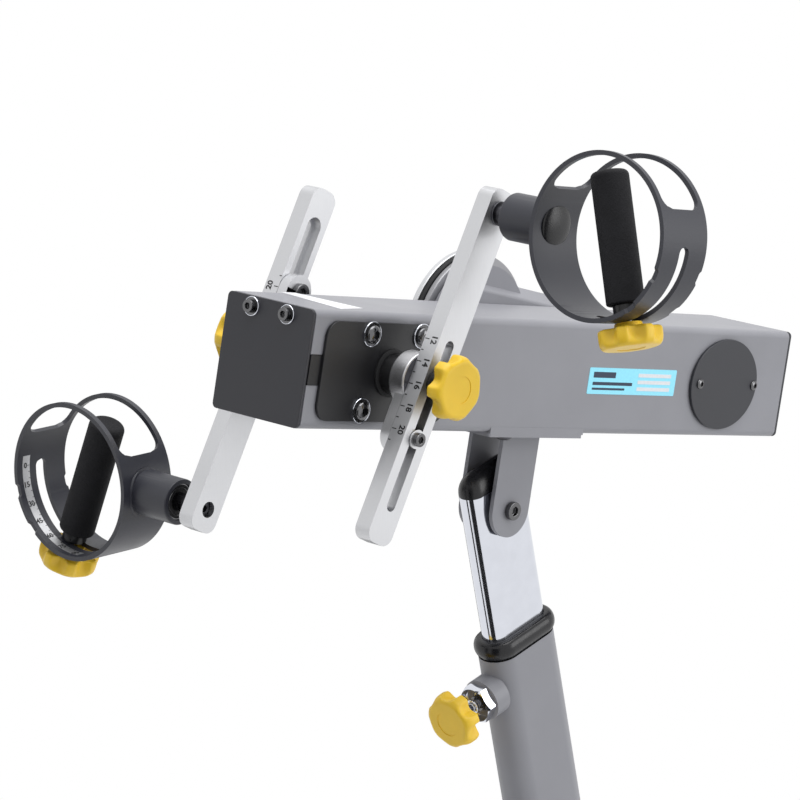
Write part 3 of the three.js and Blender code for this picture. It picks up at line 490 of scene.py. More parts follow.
def makeRing(side):
    r = ring
    band = rod("X", r.radius, -r.half, r.half, sides=144)
    hollow = rod("X", r.inside, -r.half - 5, r.half + 5, sides=144)
    end, b = r.bossEnd, r.boss
    boss = spun([(nearAxis, r.inside - 4), (b, r.inside - 4), (b, end - 1.6), (b - 0.5, end - 0.4),
        (b - 1.6, end), (r.bore + 1, end), (nearAxis, end)], "Y", 96)
    outline = [(-1, -2.6), (2.2, -2.8), (2.4, -1.6), (1.4, 0), (0.3, 1.6), (-1, 2), (-1, -2.6)]
    weldBead = spun([(b + out, r.radius + up) for out, up in outline], "Y", 64)
    bead = keepCommon(weldBead, rod("X", r.radius + 1.4, -r.half, r.half, sides=96))
    weld(band, boss, bead)
    cutAway(band, hollow, rod("Y", r.bore, 10, end + 5, sides=96))
    up = pi / 2
    reach = radians(r.window)
    window = roundedStations(up - reach, up + reach, r.windowHalf, r.windowCorner, r.radius)
    slotFrom, slotTo = (pi + radians(v) for v in r.slot)
    slot = roundedStations(slotFrom, slotTo, r.slotHalf, r.slotHalf - 0.05, r.radius, 6, 36)
    cutAway(band, curvedCutter(window, 50, 80), curvedCutter(slot, 50, 80))
    for angle in r.notch:
        turn = pi + radians(angle)
        reachBy = r.notchLength / 2 / r.radius
        for way in (-1, 1):
            notch = [(turn - reachBy - 0.03, 0.3), (turn - reachBy, r.notchDepth),
                (turn + reachBy, r.notchDepth), (turn + reachBy + 0.03, 0.3)]
            cutAway(band, curvedCutter(notch, 50, 80, way * (r.half + 0.05)))
    soften(band, r.edge)
    sidePiece(band, "handleRing", side, ringFrame, slatePaint, "handle", "ring")


def writing(text, size, bold):
    clearSelection()
    bpy.ops.object.text_add()
    obj = bpy.context.object
    obj.data.body = text
    obj.data.size = size
    obj.data.align_x = "CENTER"
    obj.data.align_y = "CENTER"
    obj.data.extrude = 0.1
    obj.data.offset = bold
    obj.data.resolution_u = 3
    pick(obj)
    bpy.ops.object.convert(target="MESH")
    return bpy.context.object


def placed(obj, origin, x, y):
    # turns a piece drawn in X and Y so that these lie along two given directions
    x, y = Vector(x).normalized(), Vector(y).normalized()
    z = x.cross(y).normalized()
    obj.data.transform(Matrix.Translation(Vector(origin)) @ Matrix((x, y, z)).transposed().to_4x4())
    return obj


scale = Sizes(x=18, half=4.2, start=-8, end=95, under=66.26, over=66.02, digits=7, tick=0.22)


def makeRingScale(side):
    s = scale
    low, high = pi + radians(s.start), pi + radians(s.end)
    bare = [(low + (high - low) * i / 60, s.half) for i in range(61)]
    strip = curvedCutter(bare, s.over, s.under, s.x)
    sidePiece(strip, "scaleStrip", side, ringFrame, silverTape, "handle")
    marks = []
    for degree in range(0, 91, 5):
        at = pi + radians(degree)
        reachBy = s.tick / s.under
        long = s.half * (0.36 if degree % 15 == 0 else 0.22)
        line = [(at - reachBy, long), (at + reachBy, long)]
        marks.append(curvedCutter(line, s.over - 0.12, s.over + 0.05, s.x - s.half + long))
    for degree in range(0, 91, 15):
        at = pi + radians(degree)
        out = Vector((0, cos(at), sin(at)))
        upWay = Vector((0, sin(at), -cos(at)))
        digits = writing(str(degree), s.digits, 0.14)
        placed(digits, out * (s.over - 0.1) + Vector((s.x + 0.9, 0, 0)), (-1, 0, 0), upWay)
        marks.append(digits)
    ink = gather(*marks)
    sidePiece(ink, "scaleInk", side, ringFrame, blackInk, "handle", smooth=0)


plug = Sizes(radius=18, dome=4.6, seat=65.9)


def makePlug(side):
    p = plug
    rise = [(p.radius * sin(a), p.seat - 1.6 - (p.dome - 1) * cos(a) ** 1.2 + 1)
        for a in (pi / 2 * k / 14 for k in range(15))]
    lip = [(p.radius, p.seat - 0.2), (p.radius - 1, p.seat), (nearAxis, p.seat)]
    dome = spun([(nearAxis, rise[0][1])] + rise[1:] + lip, "Y", 72)
    keepCommon(dome, rod("X", p.seat, -40, 40, sides=144))
    sidePiece(dome, "bossPlug", side, ringFrame, blackPlastic, "handle", "ring_plug")


# Star knobs

# levels: (share of the thickness, share of the radius, depth of the scallops)
knob = Sizes(lobes=7, valley=0.66, recess=11.8, recessDepth=0.5,
    levels=((0, 0.9, 5), (0.03, 0.95, 5.8), (0.08, 0.985, 6.3), (0.16, 1, 6.5), (0.28, 1, 6.4),
    (0.4, 1, 5.9), (0.52, 0.995, 5), (0.63, 0.985, 3.9), (0.73, 0.97, 2.8), (0.81, 0.95, 1.9),
    (0.88, 0.92, 1.2), (0.94, 0.88, 0.7), (0.98, 0.83, 0.4), (1, 0.76, 0.2)))


def starBody(radius, thickness, hubRadius, hub, stud):
    # along -Z from the seat at zero: hub, then a body whose scallops fade towards its round outer face
    k = knob
    clearSelection()
    bpy.ops.mesh.primitive_circle_add(vertices=k.lobes * 30, radius=radius, fill_type="NGON")
    body = bpy.context.object
    startEdit(body)
    for index in range(1, len(k.levels)):
        extrudeBy((0, 0, -1))
    leaveOutward()
    for vertex in body.data.vertices:
        share, size, dent = k.levels[round(-vertex.co.z)]
        angle = atan2(vertex.co.y, vertex.co.x)
        away = abs(2 * ((k.lobes * angle / (2 * pi)) % 1) - 1) / k.valley
        arch = 1 - away ** 2
        wave = (arch + sqrt(arch ** 2 + 0.02)) / 2
        reach = radius * size - dent * wave
        vertex.co = (reach * cos(angle), reach * sin(angle), -hub - thickness * share)
    face = -hub - thickness
    cutAway(body, rod("Z", k.recess, face - 5, face + k.recessDepth, sides=64))
    collar = rod("Z", hubRadius, 0, -hub - 1, sides=48, radiusEnd=hubRadius + 1.5)
    pin = rod("Z", 4.7, stud, -hub - 3, sides=32)
    return body, collar, pin


armKnob = dict(radius=27.9, thickness=15, hubRadius=12.5, hub=13.2, stud=27)
gripKnob = dict(radius=27.4, thickness=16.5, hubRadius=11.3, hub=4.5, stud=20)
pullKnob = dict(radius=26, thickness=17, hubRadius=9, hub=3, stud=0)
armOuter = -104.1


def makeKnobs(side):
    seat = Matrix.Translation((0, armOuter - 0.3, 0)) @ Matrix.Rotation(-pi / 2, 4, "X")
    body, hub, pin = starBody(**armKnob)
    for piece in (body, hub, pin):
        piece.data.transform(seat)
    soften(hub, 0.6)
    sidePiece(body, "clampKnob", side, crankFrame, yellowPlastic, "clamp", "arm_knob", smooth=55)
    sidePiece(hub, "clampHub", side, crankFrame, blackPlastic, "clamp")
    sidePiece(pin, "clampStud", side, crankFrame, boltSteel, "clamp")
    below = Matrix.Translation((0, 0, -ring.radius - 0.3))
    body, hub, pin = starBody(**gripKnob)
    body = gather(body, hub)
    body.data.transform(below)
    pin.data.transform(below)
    sidePiece(body, "gripKnob", side, gripFrame, yellowPlastic, "lock", "grip_knob", smooth=55)
    sidePiece(pin, "gripStud", side, gripFrame, boltSteel, "lock")


grip = Sizes(radius=16, top=55.6, bottom=55.2, round=5, foot=1.6, neck=11, neckEnd=64.8,
    core=8, hollow=8.6, stud=5.4, cup=3)


def makeGrip(side):
    g = grip
    profile = [(nearAxis, g.top)]
    profile += [(g.radius - g.round + g.round * sin(a), g.top - g.round + g.round * cos(a))
        for a in (pi / 2 * k / 10 for k in range(11))]
    profile += [(g.radius, z) for z in (30, 0, -30)]
    profile += [(g.radius, -g.bottom + g.foot), (g.radius - 0.5, -g.bottom + 0.5),
        (g.radius - g.foot, -g.bottom), (g.hollow, -g.bottom)]
    foam = spun(profile + [(g.hollow, -g.bottom + g.cup), (nearAxis, -g.bottom + g.cup)], "Z", 72)
    sidePiece(foam, "gripFoam", side, gripFrame, foamGrip, "grip", "grip_foam", smooth=50)
    neck = spun([(nearAxis, -g.bottom - 0.1), (g.core, -g.bottom - 0.1), (g.neck, -g.bottom - 0.8),
        (g.neck, -g.neckEnd + 0.8), (g.neck - 0.8, -g.neckEnd), (g.stud, -g.neckEnd),
        (g.stud, -g.bottom - g.cup), (nearAxis, -g.bottom - g.cup)], "Z", 48)
    core = rod("Z", g.core, -g.bottom - 1, g.top - 6, sides=32)
    neck = weld(neck, core)
    sidePiece(neck, "gripCore", side, gripFrame, blackPlastic, "grip", "grip_core")


# Crank arms with their scale

arm = Sizes(half=15.5, inner=-88.3, outer=armOuter, near=19.7, far=295, corner=10.5, edge=0.7, slotHalf=5.2,
    slot=(115, 266.2), groove=8.7, grooveDepth=8.6, hole=7.1, first=12, last=21, digits=8.2, bold=0.26,
    tick=0.42)


def slotTool(half, high, low, y0, y1):
    body = block((-half, half), (y0, y1), (low + half, high - half))
    return weld(body, rod("Y", half, y0, y1, 0, high - half, 48),
        rod("Y", half, y0, y1, 0, low + half, 48))


def makeArm(side):
    a = arm
    bar = block((-a.half, a.half), (a.outer, a.inner), (-a.far, a.near), a.corner, "Y", 10)
    cutAway(bar, slotTool(a.slotHalf, -a.slot[0], -a.slot[1], a.outer - 5, a.inner + 5),
        slotTool(a.groove, -a.slot[0] + 3.5, -a.slot[1] - 3.5, a.inner - a.grooveDepth, a.inner + 5),
        rod("Y", a.hole, a.outer - 5, a.inner + 5, sides=64))
    soften(bar, a.edge)
    sidePiece(bar, "crankBar", side, armFrame, satinAluminium, "arm", "crank_arm")
    face = -a.half
    marks = []
    for centimetre in range(a.first, a.last + 1):
        z = -10.0 * centimetre
        length = 4.6 if centimetre % 2 == 0 else 2.6
        y = a.inner - a.edge
        marks.append(block((face - 0.1, face + 0.1), (y - length, y), (z - a.tick, z + a.tick)))
        if centimetre % 2 == 0 and centimetre <= 20:
            number = writing(str(centimetre), a.digits, a.bold)
            placed(number, (face, a.outer + 5.3, z), (0, 0, -1), (0, -1, 0))
            marks.append(number)
    sidePiece(gather(*marks), "armScale", side, armFrame, blackInk, "arm", smooth=0)


# Carrier on each end of the crank axle, with its collar, guide bar and guide screw

carrier = Sizes(collar=23.5, collarFrom=-71.6, plate=(-88, -78), half=15.4, guide=-49, washer=8.2,
    head=5.9, headHeight=5.4, bore=10.3, shank=4.7, bolt=8.4, boltHeight=5)


# hexagon socket of a screw, as shares of the radius and of the height of its head
socket = Sizes(radius=0.53, depth=0.62)


def socketHead(axis, radius, seat, way, height, u, v):
    top = seat + way * height
    head = rod(axis, radius, seat, top, u, v, 48)
    floor = top - way * height * socket.depth
    hexagon = rod(axis, radius * socket.radius, floor, top + way * 3, u, v, 6)
    cutAway(head, hexagon)
    soften(head, radius * 0.1)
    return head


def plainWasher(axis, radius, hole, start, end, u, v):
    disc = rod(axis, radius, start, end, u, v, 48)
    low, high = min(start, end), max(start, end)
    cutAway(disc, rod(axis, hole, low - 1, high + 1, u, v, 24))
    soften(disc, 0.3)
    return disc


# painted highlight: a thin chrome ring on the edge of a dark washer, standing for the bright edge of its chamfer
def brightRim(axis, radius, start, end, u, v):
    way = 1 if end > start else -1
    return hoop([(radius - 0.9, start), (radius, start), (radius, end - way * 0.2),
        (radius - 0.25, end + way * 0.15), (radius - 0.65, end + way * 0.15),
        (radius - 0.9, end - way * 0.1)], axis, 64, u, v)


def makeCarrier(side):
    c = carrier
    y0, y1 = c.plate
    plate = block((-c.half, c.half), (y0, y1), (c.guide, 0))
    weld(plate, rod("Y", c.half, y0, y1, 0, 0, 72), rod("Y", c.half, y0, y1, 0, c.guide, 72))
    cutAway(plate, rod("Y", c.bore, y0 - 5, y1 + 5, sides=48))
    soften(plate, 0.9)
    sidePiece(plate, "guideBar", side, crankFrame, satinAluminium, "crank", "carrier")
    low, high, r = c.collarFrom, y0, c.collar
    collar = hoop([(c.bore, low), (r - 1.4, low), (r - 0.4, low - 0.4), (r, low - 1.4), (r, high + 1.2),
        (r - 0.4, high + 0.4), (r - 1.2, high), (c.bore, high)], "Y", 128)
    sidePiece(collar, "machinedCollar", side, crankFrame, machinedRing, "crank", smooth=20)
    # painted shade: a thin dark disc over the collar's end face, standing for the shadow that the arm casts on it
    face = hoop([(10.5, high + 0.05), (r - 1.6, high + 0.05), (r - 1.6, high - 0.12), (10.5, high - 0.12)])
    sidePiece(face, "collarShadeDisc", side, crankFrame, darkSteel, "crank")
    face = armOuter - 0.3
    head = socketHead("Y", c.head, face - 1.6, -1, c.headHeight - 1.2, 0, c.guide)
    shank = rod("Y", c.shank, face, y0 + 1, 0, c.guide, 32)
    sidePiece(gather(head, shank), "guideScrew", side, crankFrame, boltSteel, "crank")
    disc = plainWasher("Y", c.washer, 5, face - 1.6, face, 0, c.guide)
    sidePiece(disc, "guideWasher", side, crankFrame, satinAluminium, "crank")
    boltHead = socketHead("Y", c.bolt, y1, 1, c.boltHeight, 0, c.guide)
    sidePiece(boltHead, "guideBolt", side, crankFrame, boltSteel, "crank")


# Spindle of each ring and its two sealed bearings

spindle = Sizes(radius=8, tip=6.6, head=11.5, inside=76.7, washer=10.4, washerFrom=126.9, end=128.8,
    tipEnd=139.6)
bearing = Sizes(outer=16.1, race=14.7, shield=12.5, lip=11.9, inner=8.3,
    rows=((101.6, 109.6), (77.2, 85.2)))


def makeSpindle(side):
    s = spindle
    profile = [(nearAxis, s.inside - 6), (s.head - 0.6, s.inside - 6), (s.head, s.inside - 5.4),
        (s.head, s.inside - 0.4), (s.radius, s.inside - 0.4), (s.radius, s.washerFrom),
        (s.washer - 0.3, s.washerFrom), (s.washer, s.washerFrom + 0.3), (s.washer, s.end - 0.3),
        (s.washer - 0.3, s.end), (s.tip, s.end), (s.tip, s.tipEnd - 0.8), (s.tip - 0.8, s.tipEnd),
        (3.2, s.tipEnd), (3.2, s.tipEnd - 5), (nearAxis, s.tipEnd - 5)]
    rodPiece = spun(profile, "Y", 64)
    sidePiece(rodPiece, "ringSpindle", side, ringFrame, darkSteel, "arm", "ring_spindle")
    b = bearing
    bright, dark = [], []
    for y0, y1 in b.rows:
        for r0, r1, low, high in ((b.race, b.outer, y0, y1), (b.lip, b.shield, y0 + 0.3, y1 - 0.3)):
            bright.append(hoop([(r0, low), (r1 - 0.3, low), (r1, low + 0.3), (r1, high - 0.3),
                (r1 - 0.3, high), (r0 + 0.2, high), (r0, high - 0.2)]))
        for r0, r1, inset in ((b.shield + 0.02, b.race - 0.02, 0.6), (b.inner, b.lip - 0.02, 0.9)):
            dark.append(hoop([(r0, y0 + inset), (r1, y0 + inset), (r1, y1 - inset), (r0, y1 - inset)]))
    sidePiece(gather(*bright), "bearingRaces", side, ringFrame, boltSteel, "handle", "ring_bearings")
    sidePiece(gather(*dark), "bearingSeals", side, ringFrame, blackRubber, "handle")


for side in sidesOfCrank:
    makeSpindle(side)
    makeRing(side)
    makeRingScale(side)
    makePlug(side)
    makeKnobs(side)
    makeGrip(side)
    makeArm(side)
    makeCarrier(side)
print("crank sides built")


# Head box, its end plates and the labels on it

head = Sizes(front=-98.2, back=555.2, half=50, wall=2.5, edge=6, slot=12.8, cup=23.5,
    hatch=(462, -1, 41, 34), shaft=(236, 21, 12.6))


def ovalRod(halfX, halfZ, x, z, y0, y1, sides=96):
    piece = rod("Y", 1, y0, y1, sides=sides)
    piece.data.transform(Matrix.Translation((x, 0, z)) @ Matrix.Diagonal((halfX, 1, halfZ, 1)))
    return piece


def makeHead():
    h = head
    half, wall = h.half, h.wall
    shell = block((h.front, h.back), (-half, half), (-half, half), h.edge, "X", 10)
    core = block((h.front - 5, h.back + 5), (-half + wall, half - wall), (-half + wall, half - wall),
        h.edge - wall, "X", 6)
    cutAway(shell, core, block((h.front - 5, 0), (-60, 60), (-h.slot, h.slot)),
        rod("Y", h.cup, -60, 60, sides=72), ovalRod(h.hatch[2], h.hatch[3], *h.hatch[:2], -60, 0),
        rod("Y", h.shaft[2], 0, 60, *h.shaft[:2], 48))
    soften(shell, 0.5)
    headPiece(shell, "headBox", greyPaint, "head_shell", smooth=35)


endPlate = Sizes(inner=49.7, thick=3, corner=4.5, boltY=20.4, boltZ=41, washer=8.3, head=5.6,
    headHeight=4.7, front=-101.5, rear=558.5)


def addFasteners(prefix, suffix, axis, washer, hole, seat, way, thick, spots, makeTop):
    # at each spot a dark washer, a chrome ring on its edge that paints in the bright highlight of its chamfer, and
    # the head of a bolt
    discs = [plainWasher(axis, washer - 0.4, hole, seat, seat + way * thick, u, v) for u, v in spots]
    highlightRings = [brightRim(axis, washer, seat, seat + way * (thick + 0.2), u, v) for u, v in spots]
    heads = [makeTop(seat + way * (thick + 0.1), u, v) for u, v in spots]
    headPiece(gather(*heads), f"{prefix}Bolts{suffix}", boltSteel)
    headPiece(gather(*discs), f"{prefix}Washers{suffix}", boltSteel)
    headPiece(gather(*highlightRings), f"{prefix}HighlightRings{suffix}", chromePlate)


def makeEndPlates():
    e = endPlate
    half = e.inner
    spots = [(-e.boltY, e.boltZ), (e.boltY, e.boltZ)]
    for name, x, way in (("Front", e.front, 1), ("Rear", e.rear, -1)):
        plate = block((x, x + way * e.thick), (-half, half), (-half, half), e.corner, "X", 8)
        soften(plate, 0.6)
        headPiece(plate, f"endPlate{name}", darkPaint, f"end_plate_{name.lower()}")

        def top(seat, u, v):
            return socketHead("X", e.head, seat, -way, e.headHeight, u, v)

        addFasteners("end", name, "X", e.washer, 3, x + way * 0.1, -way, 1.2, spots, top)


bearingPlate = Sizes(front=-85, back=75, half=42, corner=14, face=50.3, thick=3, nose=17, noseEnd=71.3,
    boltX=31.5, boltZ=32.3, washer=10.8, head=7.8, height=5, tongue=12.5, tongueX=(-98, -72), bore=10.4,
    seal=(17.1, 20.5))


def makeBearingPlates():
    p = bearingPlate
    face, half, outside = p.face, p.half, p.face + p.thick
    spots = [(x, z) for x in (-p.boltX, p.boltX) for z in (-p.boltZ, p.boltZ)]
    for side, way in (("near", -1), ("far", 1)):
        plate = block((p.front, p.back), (way * face, way * outside), (-half, half), p.corner, "Y", 10)
        cutAway(plate, rod("Y", 12, -80, 80, sides=48))
        soften(plate, 0.6)
        tongue = block(p.tongueX, (way * 48.1, way * (face + 0.2)), (-p.tongue, p.tongue), 1, "Y", 3)
        headPiece(gather(plate, tongue), f"bearingPlate_{side}", blackPaint, f"bearing_plate_{side}")
        low, high, bore = way * (outside - 0.2), way * p.noseEnd, p.bore
        nose = hoop([(bore, low), (p.nose, low), (p.nose, high - way), (p.nose - 1, high), (bore, high)])
        headPiece(nose, f"bearingNose_{side}", noseSteel)
        # painted shadow: a dark ring round the foot of the nose, standing for the contact shadow where the nose
        # meets the plate
        inner, edge = p.seal
        seal = hoop([(inner, low), (edge, low), (edge, low + way * 1.6), (edge - 2, low + way * 2.6),
            (inner, low + way * 2.6)], "Y", 72)
        headPiece(seal, f"bearingShadowRing_{side}", blackRubber)

        def top(seat, u, v):
            return domedHead("Y", p.head, seat, way, p.height, u, v)

        addFasteners("bearing", f"_{side}", "Y", p.washer, 4, way * (outside + 0.05), way, 1.3, spots, top)


def domedHead(axis, radius, seat, way, height, u, v):
    rise = [(radius * cos(a), seat + way * (height * 0.25 + height * 0.75 * sin(a)))
        for a in (pi / 2 * k / 8 for k in range(8))]
    outline = [(nearAxis, seat), (radius, seat)] + rise + [(nearAxis, seat + way * height)]
    dome = spun(outline, axis, 48, u, v)
    top = seat + way * height
    cutAway(dome, rod(axis, radius * 0.52, top - way * height * 0.6, top + way * 3, u, v, 6))
    soften(dome, 0.25, 2, 50)
    return dome


cover = Sizes(x=462, z=-1, halfX=49, halfZ=42, face=-50.3, thick=3, screws=(-37, 44), head=4.6)


def makeCover():
    c = cover
    plate = ovalRod(c.halfX, c.halfZ, c.x, c.z, c.face, c.face - c.thick, 128)
    soften(plate, 0.8, 3)
    headPiece(plate, "ovalCover", coverPaint, "oval_cover")
    heads = [domedHead("Y", c.head, c.face - c.thick, -1, 2.6, c.x + dx, c.z) for dx in c.screws]
    headPiece(gather(*heads), "coverScrews", boltSteel)


label = Sizes(x=(267, 392), z=(-13.5, 10.3), face=-50, thick=0.25,
    top=((-38, 49), (-21, 49), (-19.5, -29), (-58, -38.7)))


def makeLabels():
    s = label
    sticker = block(s.x, (s.face - s.thick, s.face + 0.2), s.z, 1.2, "Y", 4)
    headPiece(sticker, "sideLabel", blueLabel, smooth=0)
    z0, z1 = s.z
    x0, x1 = s.x
    rise, run = z1 - z0, x1 - x0

    def bar(a, b, low, high):
        return block((x0 + run * a, x0 + run * b), (s.face - s.thick - 0.12, s.face),
            (z0 + rise * low, z0 + rise * high), 0.5, "Y", 2)

    dark = [bar(0.05, 0.3, 0.62, 0.84), bar(0.05, 0.5, 0.34, 0.46), bar(0.05, 0.42, 0.16, 0.24)]
    light = [bar(0.56, 0.94, 0.16, 0.3), bar(0.56, 0.94, 0.42, 0.56), bar(0.56, 0.94, 0.68, 0.82)]
    headPiece(gather(*dark), "labelDarkBars", darkLabel, smooth=0)
    headPiece(gather(*light), "labelLightBars", whiteInk, smooth=0)
    corners = [(x, y, 50.05) for x, y in s.top]
    obj = drawOutline(corners + corners[:1])
    bpy.ops.mesh.remove_doubles(threshold=tiny)
    bpy.ops.mesh.edge_face_add()
    extrudeBy((0, 0, 0.25))
    leaveOutward()
    headPiece(obj, "topLabel", whiteLabel, smooth=0)


makeHead()
makeEndPlates()
makeBearingPlates()
makeCover()
makeLabels()
print("head built")


# Clevis bracket under the head with its bolts

bracket = Sizes(x=224, drop=-125, front=81, back=47, top=-50.3, plate=3.6, half=50, web=3, ear=(16, 20),
    radius=24.5, edge=0.7, hole=5.3, bolt=8.2, boltX=-45.5, boltY=36, webBolt=10, lip=44.2)
pivot = Sizes(head=8.3, seat=-20.2, height=5.2, shank=5, end=31, nut=9.6, nutEnds=(20.3, 28.3), ring=8.2,
    ringEnds=(20.2, 28.6))


def makeBracket():
    b = bracket
    low = b.top - b.plate
    plate = block((b.x - b.front, b.x + b.back), (-b.half, b.half), (low, b.top), 3, "Z", 4)
    web = block((b.x - b.radius, b.x + b.radius), (-b.ear[1], b.ear[1]), (low - b.web, low + 0.3))
    weld(plate, web)
    for way in (-1, 1):
        # lip that fills the corner under the rounded edge of the box
        lip = block((b.x - b.front + 1, b.x + b.back - 0.02), (way * b.lip, way * (b.half - 0.02)),
            (b.top - 0.5, -b.lip - 0.3))
        weld(plate, lip)
    cutAway(plate, block((head.front - 5, head.back + 5), (-head.half - 0.05, head.half + 0.05),
        (-head.half - 0.05, head.half), head.edge, "X", 10))
    for way in (-1, 1):
        y0, y1 = way * b.ear[0], way * b.ear[1]
        ear = block((b.x - b.radius, b.x + b.radius), (y0, y1), (b.drop, low + 0.2))
        weld(ear, rod("Y", b.radius, y0, y1, b.x, b.drop, 96))
        weld(plate, ear)
    cutAway(plate, rod("Y", b.hole, -60, 60, b.x, b.drop, 48), rod("Z", b.hole, low - 20, 0, b.x, 0, 32))
    soften(plate, b.edge)
    headPiece(plate, "clevis", greyPaint, "clevis_bracket")
    webLow = low - b.web - 0.1
    bolt = domedHead("Z", b.webBolt, webLow, -1, 5, b.x, 0)
    headPiece(bolt, "webBolt", blackPlastic, "bracket_bolt")
    heads = [domedHead("Z", b.bolt, low - 0.05, -1, 5, b.x + b.boltX, y)
        for y in (-b.boltY, b.boltY)]
    headPiece(gather(*heads), "plateBolts", darkSteel)
    p = pivot
    top = socketHead("Y", p.head, p.seat, -1, p.height, b.x, b.drop)
    shank = rod("Y", p.shank, p.seat - 0.1, p.end, b.x, b.drop, 32)
    headPiece(gather(top, shank), "pivotBolt", boltSteel, "pivot_bolt")
    hexNut = rod("Y", p.nut, *p.nutEnds, b.x, b.drop, 6)
    collarRing = rod("Y", p.ring, *p.ringEnds, b.x, b.drop, 48)
    keepNut = gather(hexNut, collarRing)
    soften(keepNut, 0.5, 2, 25)
    headPiece(keepNut, "pivotNut", boltSteel, "pivot_nut")


makeBracket()
print("bracket built")


# Mast: chrome tube, its cap, the collar, the outer tube and the spring plunger

def stadiumRod(depth, thick, z0, z1, steps=32):
    half = thick / 2
    reach = depth / 2 - half
    body = block((-reach, reach), (-half, half), (z0, z1))
    for x in (-reach, reach):
        weld(body, rod("Z", half, z0, z1, x, 0, steps * 2))
    return body


mast = Sizes(depth=72, thick=26, wall=2.5, top=23.5, bottom=-560, slot=(-321.5, -130.5), slotHalf=5.2,
    hole=5.3)


def makeInnerTube():
    m = mast
    body = stadiumRod(m.depth, m.thick, m.bottom, m.top)
    core = stadiumRod(m.depth - 2 * m.wall, m.thick - 2 * m.wall, m.bottom - 5, m.top + 5)
    cutAway(body, core, block((-60, 0), (-m.slotHalf, m.slotHalf), m.slot),
        rod("Y", m.hole, -30, 30, sides=40))
    soften(body, 0.4, 2, 50)
    mastPiece(body, "innerTube", chromePlate, "mast", "mast_inner_tube", smooth=40)


cap = Sizes(depth=72, thick=26, seat=23.7, rim=0.4, rise=19.5, drawIn=2.5, steps=14)


def makeCap():
    # dome: a stadium drawn in as it rises
    c = cap
    obj = stadiumRod(c.depth, c.thick, c.seat, c.seat + c.rim)
    selectParts(obj, "FACE", lambda face: face.normal.z > 0.9)
    last = (c.depth / 2, c.thick / 2, c.seat + c.rim)
    for k in range(1, c.steps):
        a = pi / 2 * k / c.steps
        half = c.thick / 2 * cos(a)
        reach = (c.depth - c.thick) / 2 - c.drawIn * (1 - cos(a))
        level = c.seat + c.rim + (c.rise - c.rim) * sin(a)
        extrudeBy((0, 0, level - last[2]))
        bpy.ops.transform.resize(value=((reach + half) / last[0], half / last[1], 1),
            center_override=(0, 0, level))
        last = (reach + half, half, level)
    leaveEdit()
    stem = stadiumRod(66, 20, 9, c.seat + 0.3)
    mastPiece(gather(obj, stem), "mastCap", blackPlastic, "mast", "mast_cap", smooth=60)


outer = Sizes(depth=84, thick=39, wall=3, top=-138, lip=2.4, height=18, boss=19.5, bossEnd=-54.7,
    drop=-171.5, nut=18.5, nutFrom=-55, nutTo=-65, knob=-82, sleeve=(77.4, 32.4, -212),
    passage=(72.6, 26.6, -216))
footPlate = Sizes(half=85, wide=55, thick=8, corner=10, boltX=66, boltY=38, bolt=8, washer=10, hole=4)


def makeOuterTube():
    o = outer
    lean = atan2(joints["mast_slide"]["axis"][0], joints["mast_slide"]["axis"][2])
    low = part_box("mast_outer_tube")[0].z
    drop = (joints["head_tilt"]["pos_m"][2] - low) * 1000
    long = stadiumRod(o.depth, o.thick, -drop * 1.08, o.top)
    level = Matrix.Rotation(-lean, 4, "Y")
    f = footPlate
    footX = (drop - f.thick) * tan(-lean)
    ground = block((-900, 900), (-400, 400), (-drop - 500, -drop + 4))
    ground.data.transform(level)
    plate = block((footX - f.half, footX + f.half), (-f.wide, f.wide), (-drop, -drop + f.thick), f.corner)
    plate.data.transform(level)
    boss = rod("X", o.boss, -38, o.bossEnd, 0, o.drop, 72)
    cutAway(long, ground)
    weld(long, plate, boss)
    core = stadiumRod(o.depth - 2 * o.wall, o.thick - 2 * o.wall, -drop * 0.9, 0)
    cutAway(long, core, rod("X", 10, -36, o.bossEnd - 5, 0, o.drop, 48))
    soften(long, 0.7, 2, 40)
    mastPiece(long, "outerTube", greyPaint, "stand", "mast_outer_tube", smooth=40)
    bolts, discs = [], []
    for x in (footX - f.boltX, footX + f.boltX):
        for y in (-f.boltY, f.boltY):
            head = rod("Z", f.bolt, -drop + 9.4, -drop + 15, x, y, 6)
            soften(head, 0.8)
            disc = plainWasher("Z", f.washer, f.hole, -drop + 8.1, -drop + 9.5, x, y)
            for piece in (head, disc):
                piece.data.transform(level)
            bolts.append(head)
            discs.append(disc)
    mastPiece(gather(*bolts), "footBolts", boltSteel, "stand")
    mastPiece(gather(*discs), "footWashers", chromePlate, "stand")


def stadiumLevels(depth, thick, levels):
    # a stadium carried up through levels of (height, how far its outline is moved out)
    obj = stadiumRod(depth, thick, levels[0][0], levels[0][0] + 0.01, steps=48)
    selectParts(obj, "FACE", lambda face: face.normal.z > 0.9)
    last = (levels[0][0] + 0.01, depth / 2, thick / 2)
    for height, out in levels[1:]:
        extrudeBy((0, 0, height - last[0]))
        reach, half = depth / 2 + out, thick / 2 + out
        bpy.ops.transform.resize(value=(reach / last[1], half / last[2], 1),
            center_override=(0, 0, height))
        last = (height, reach, half)
    leaveEdit()
    return obj


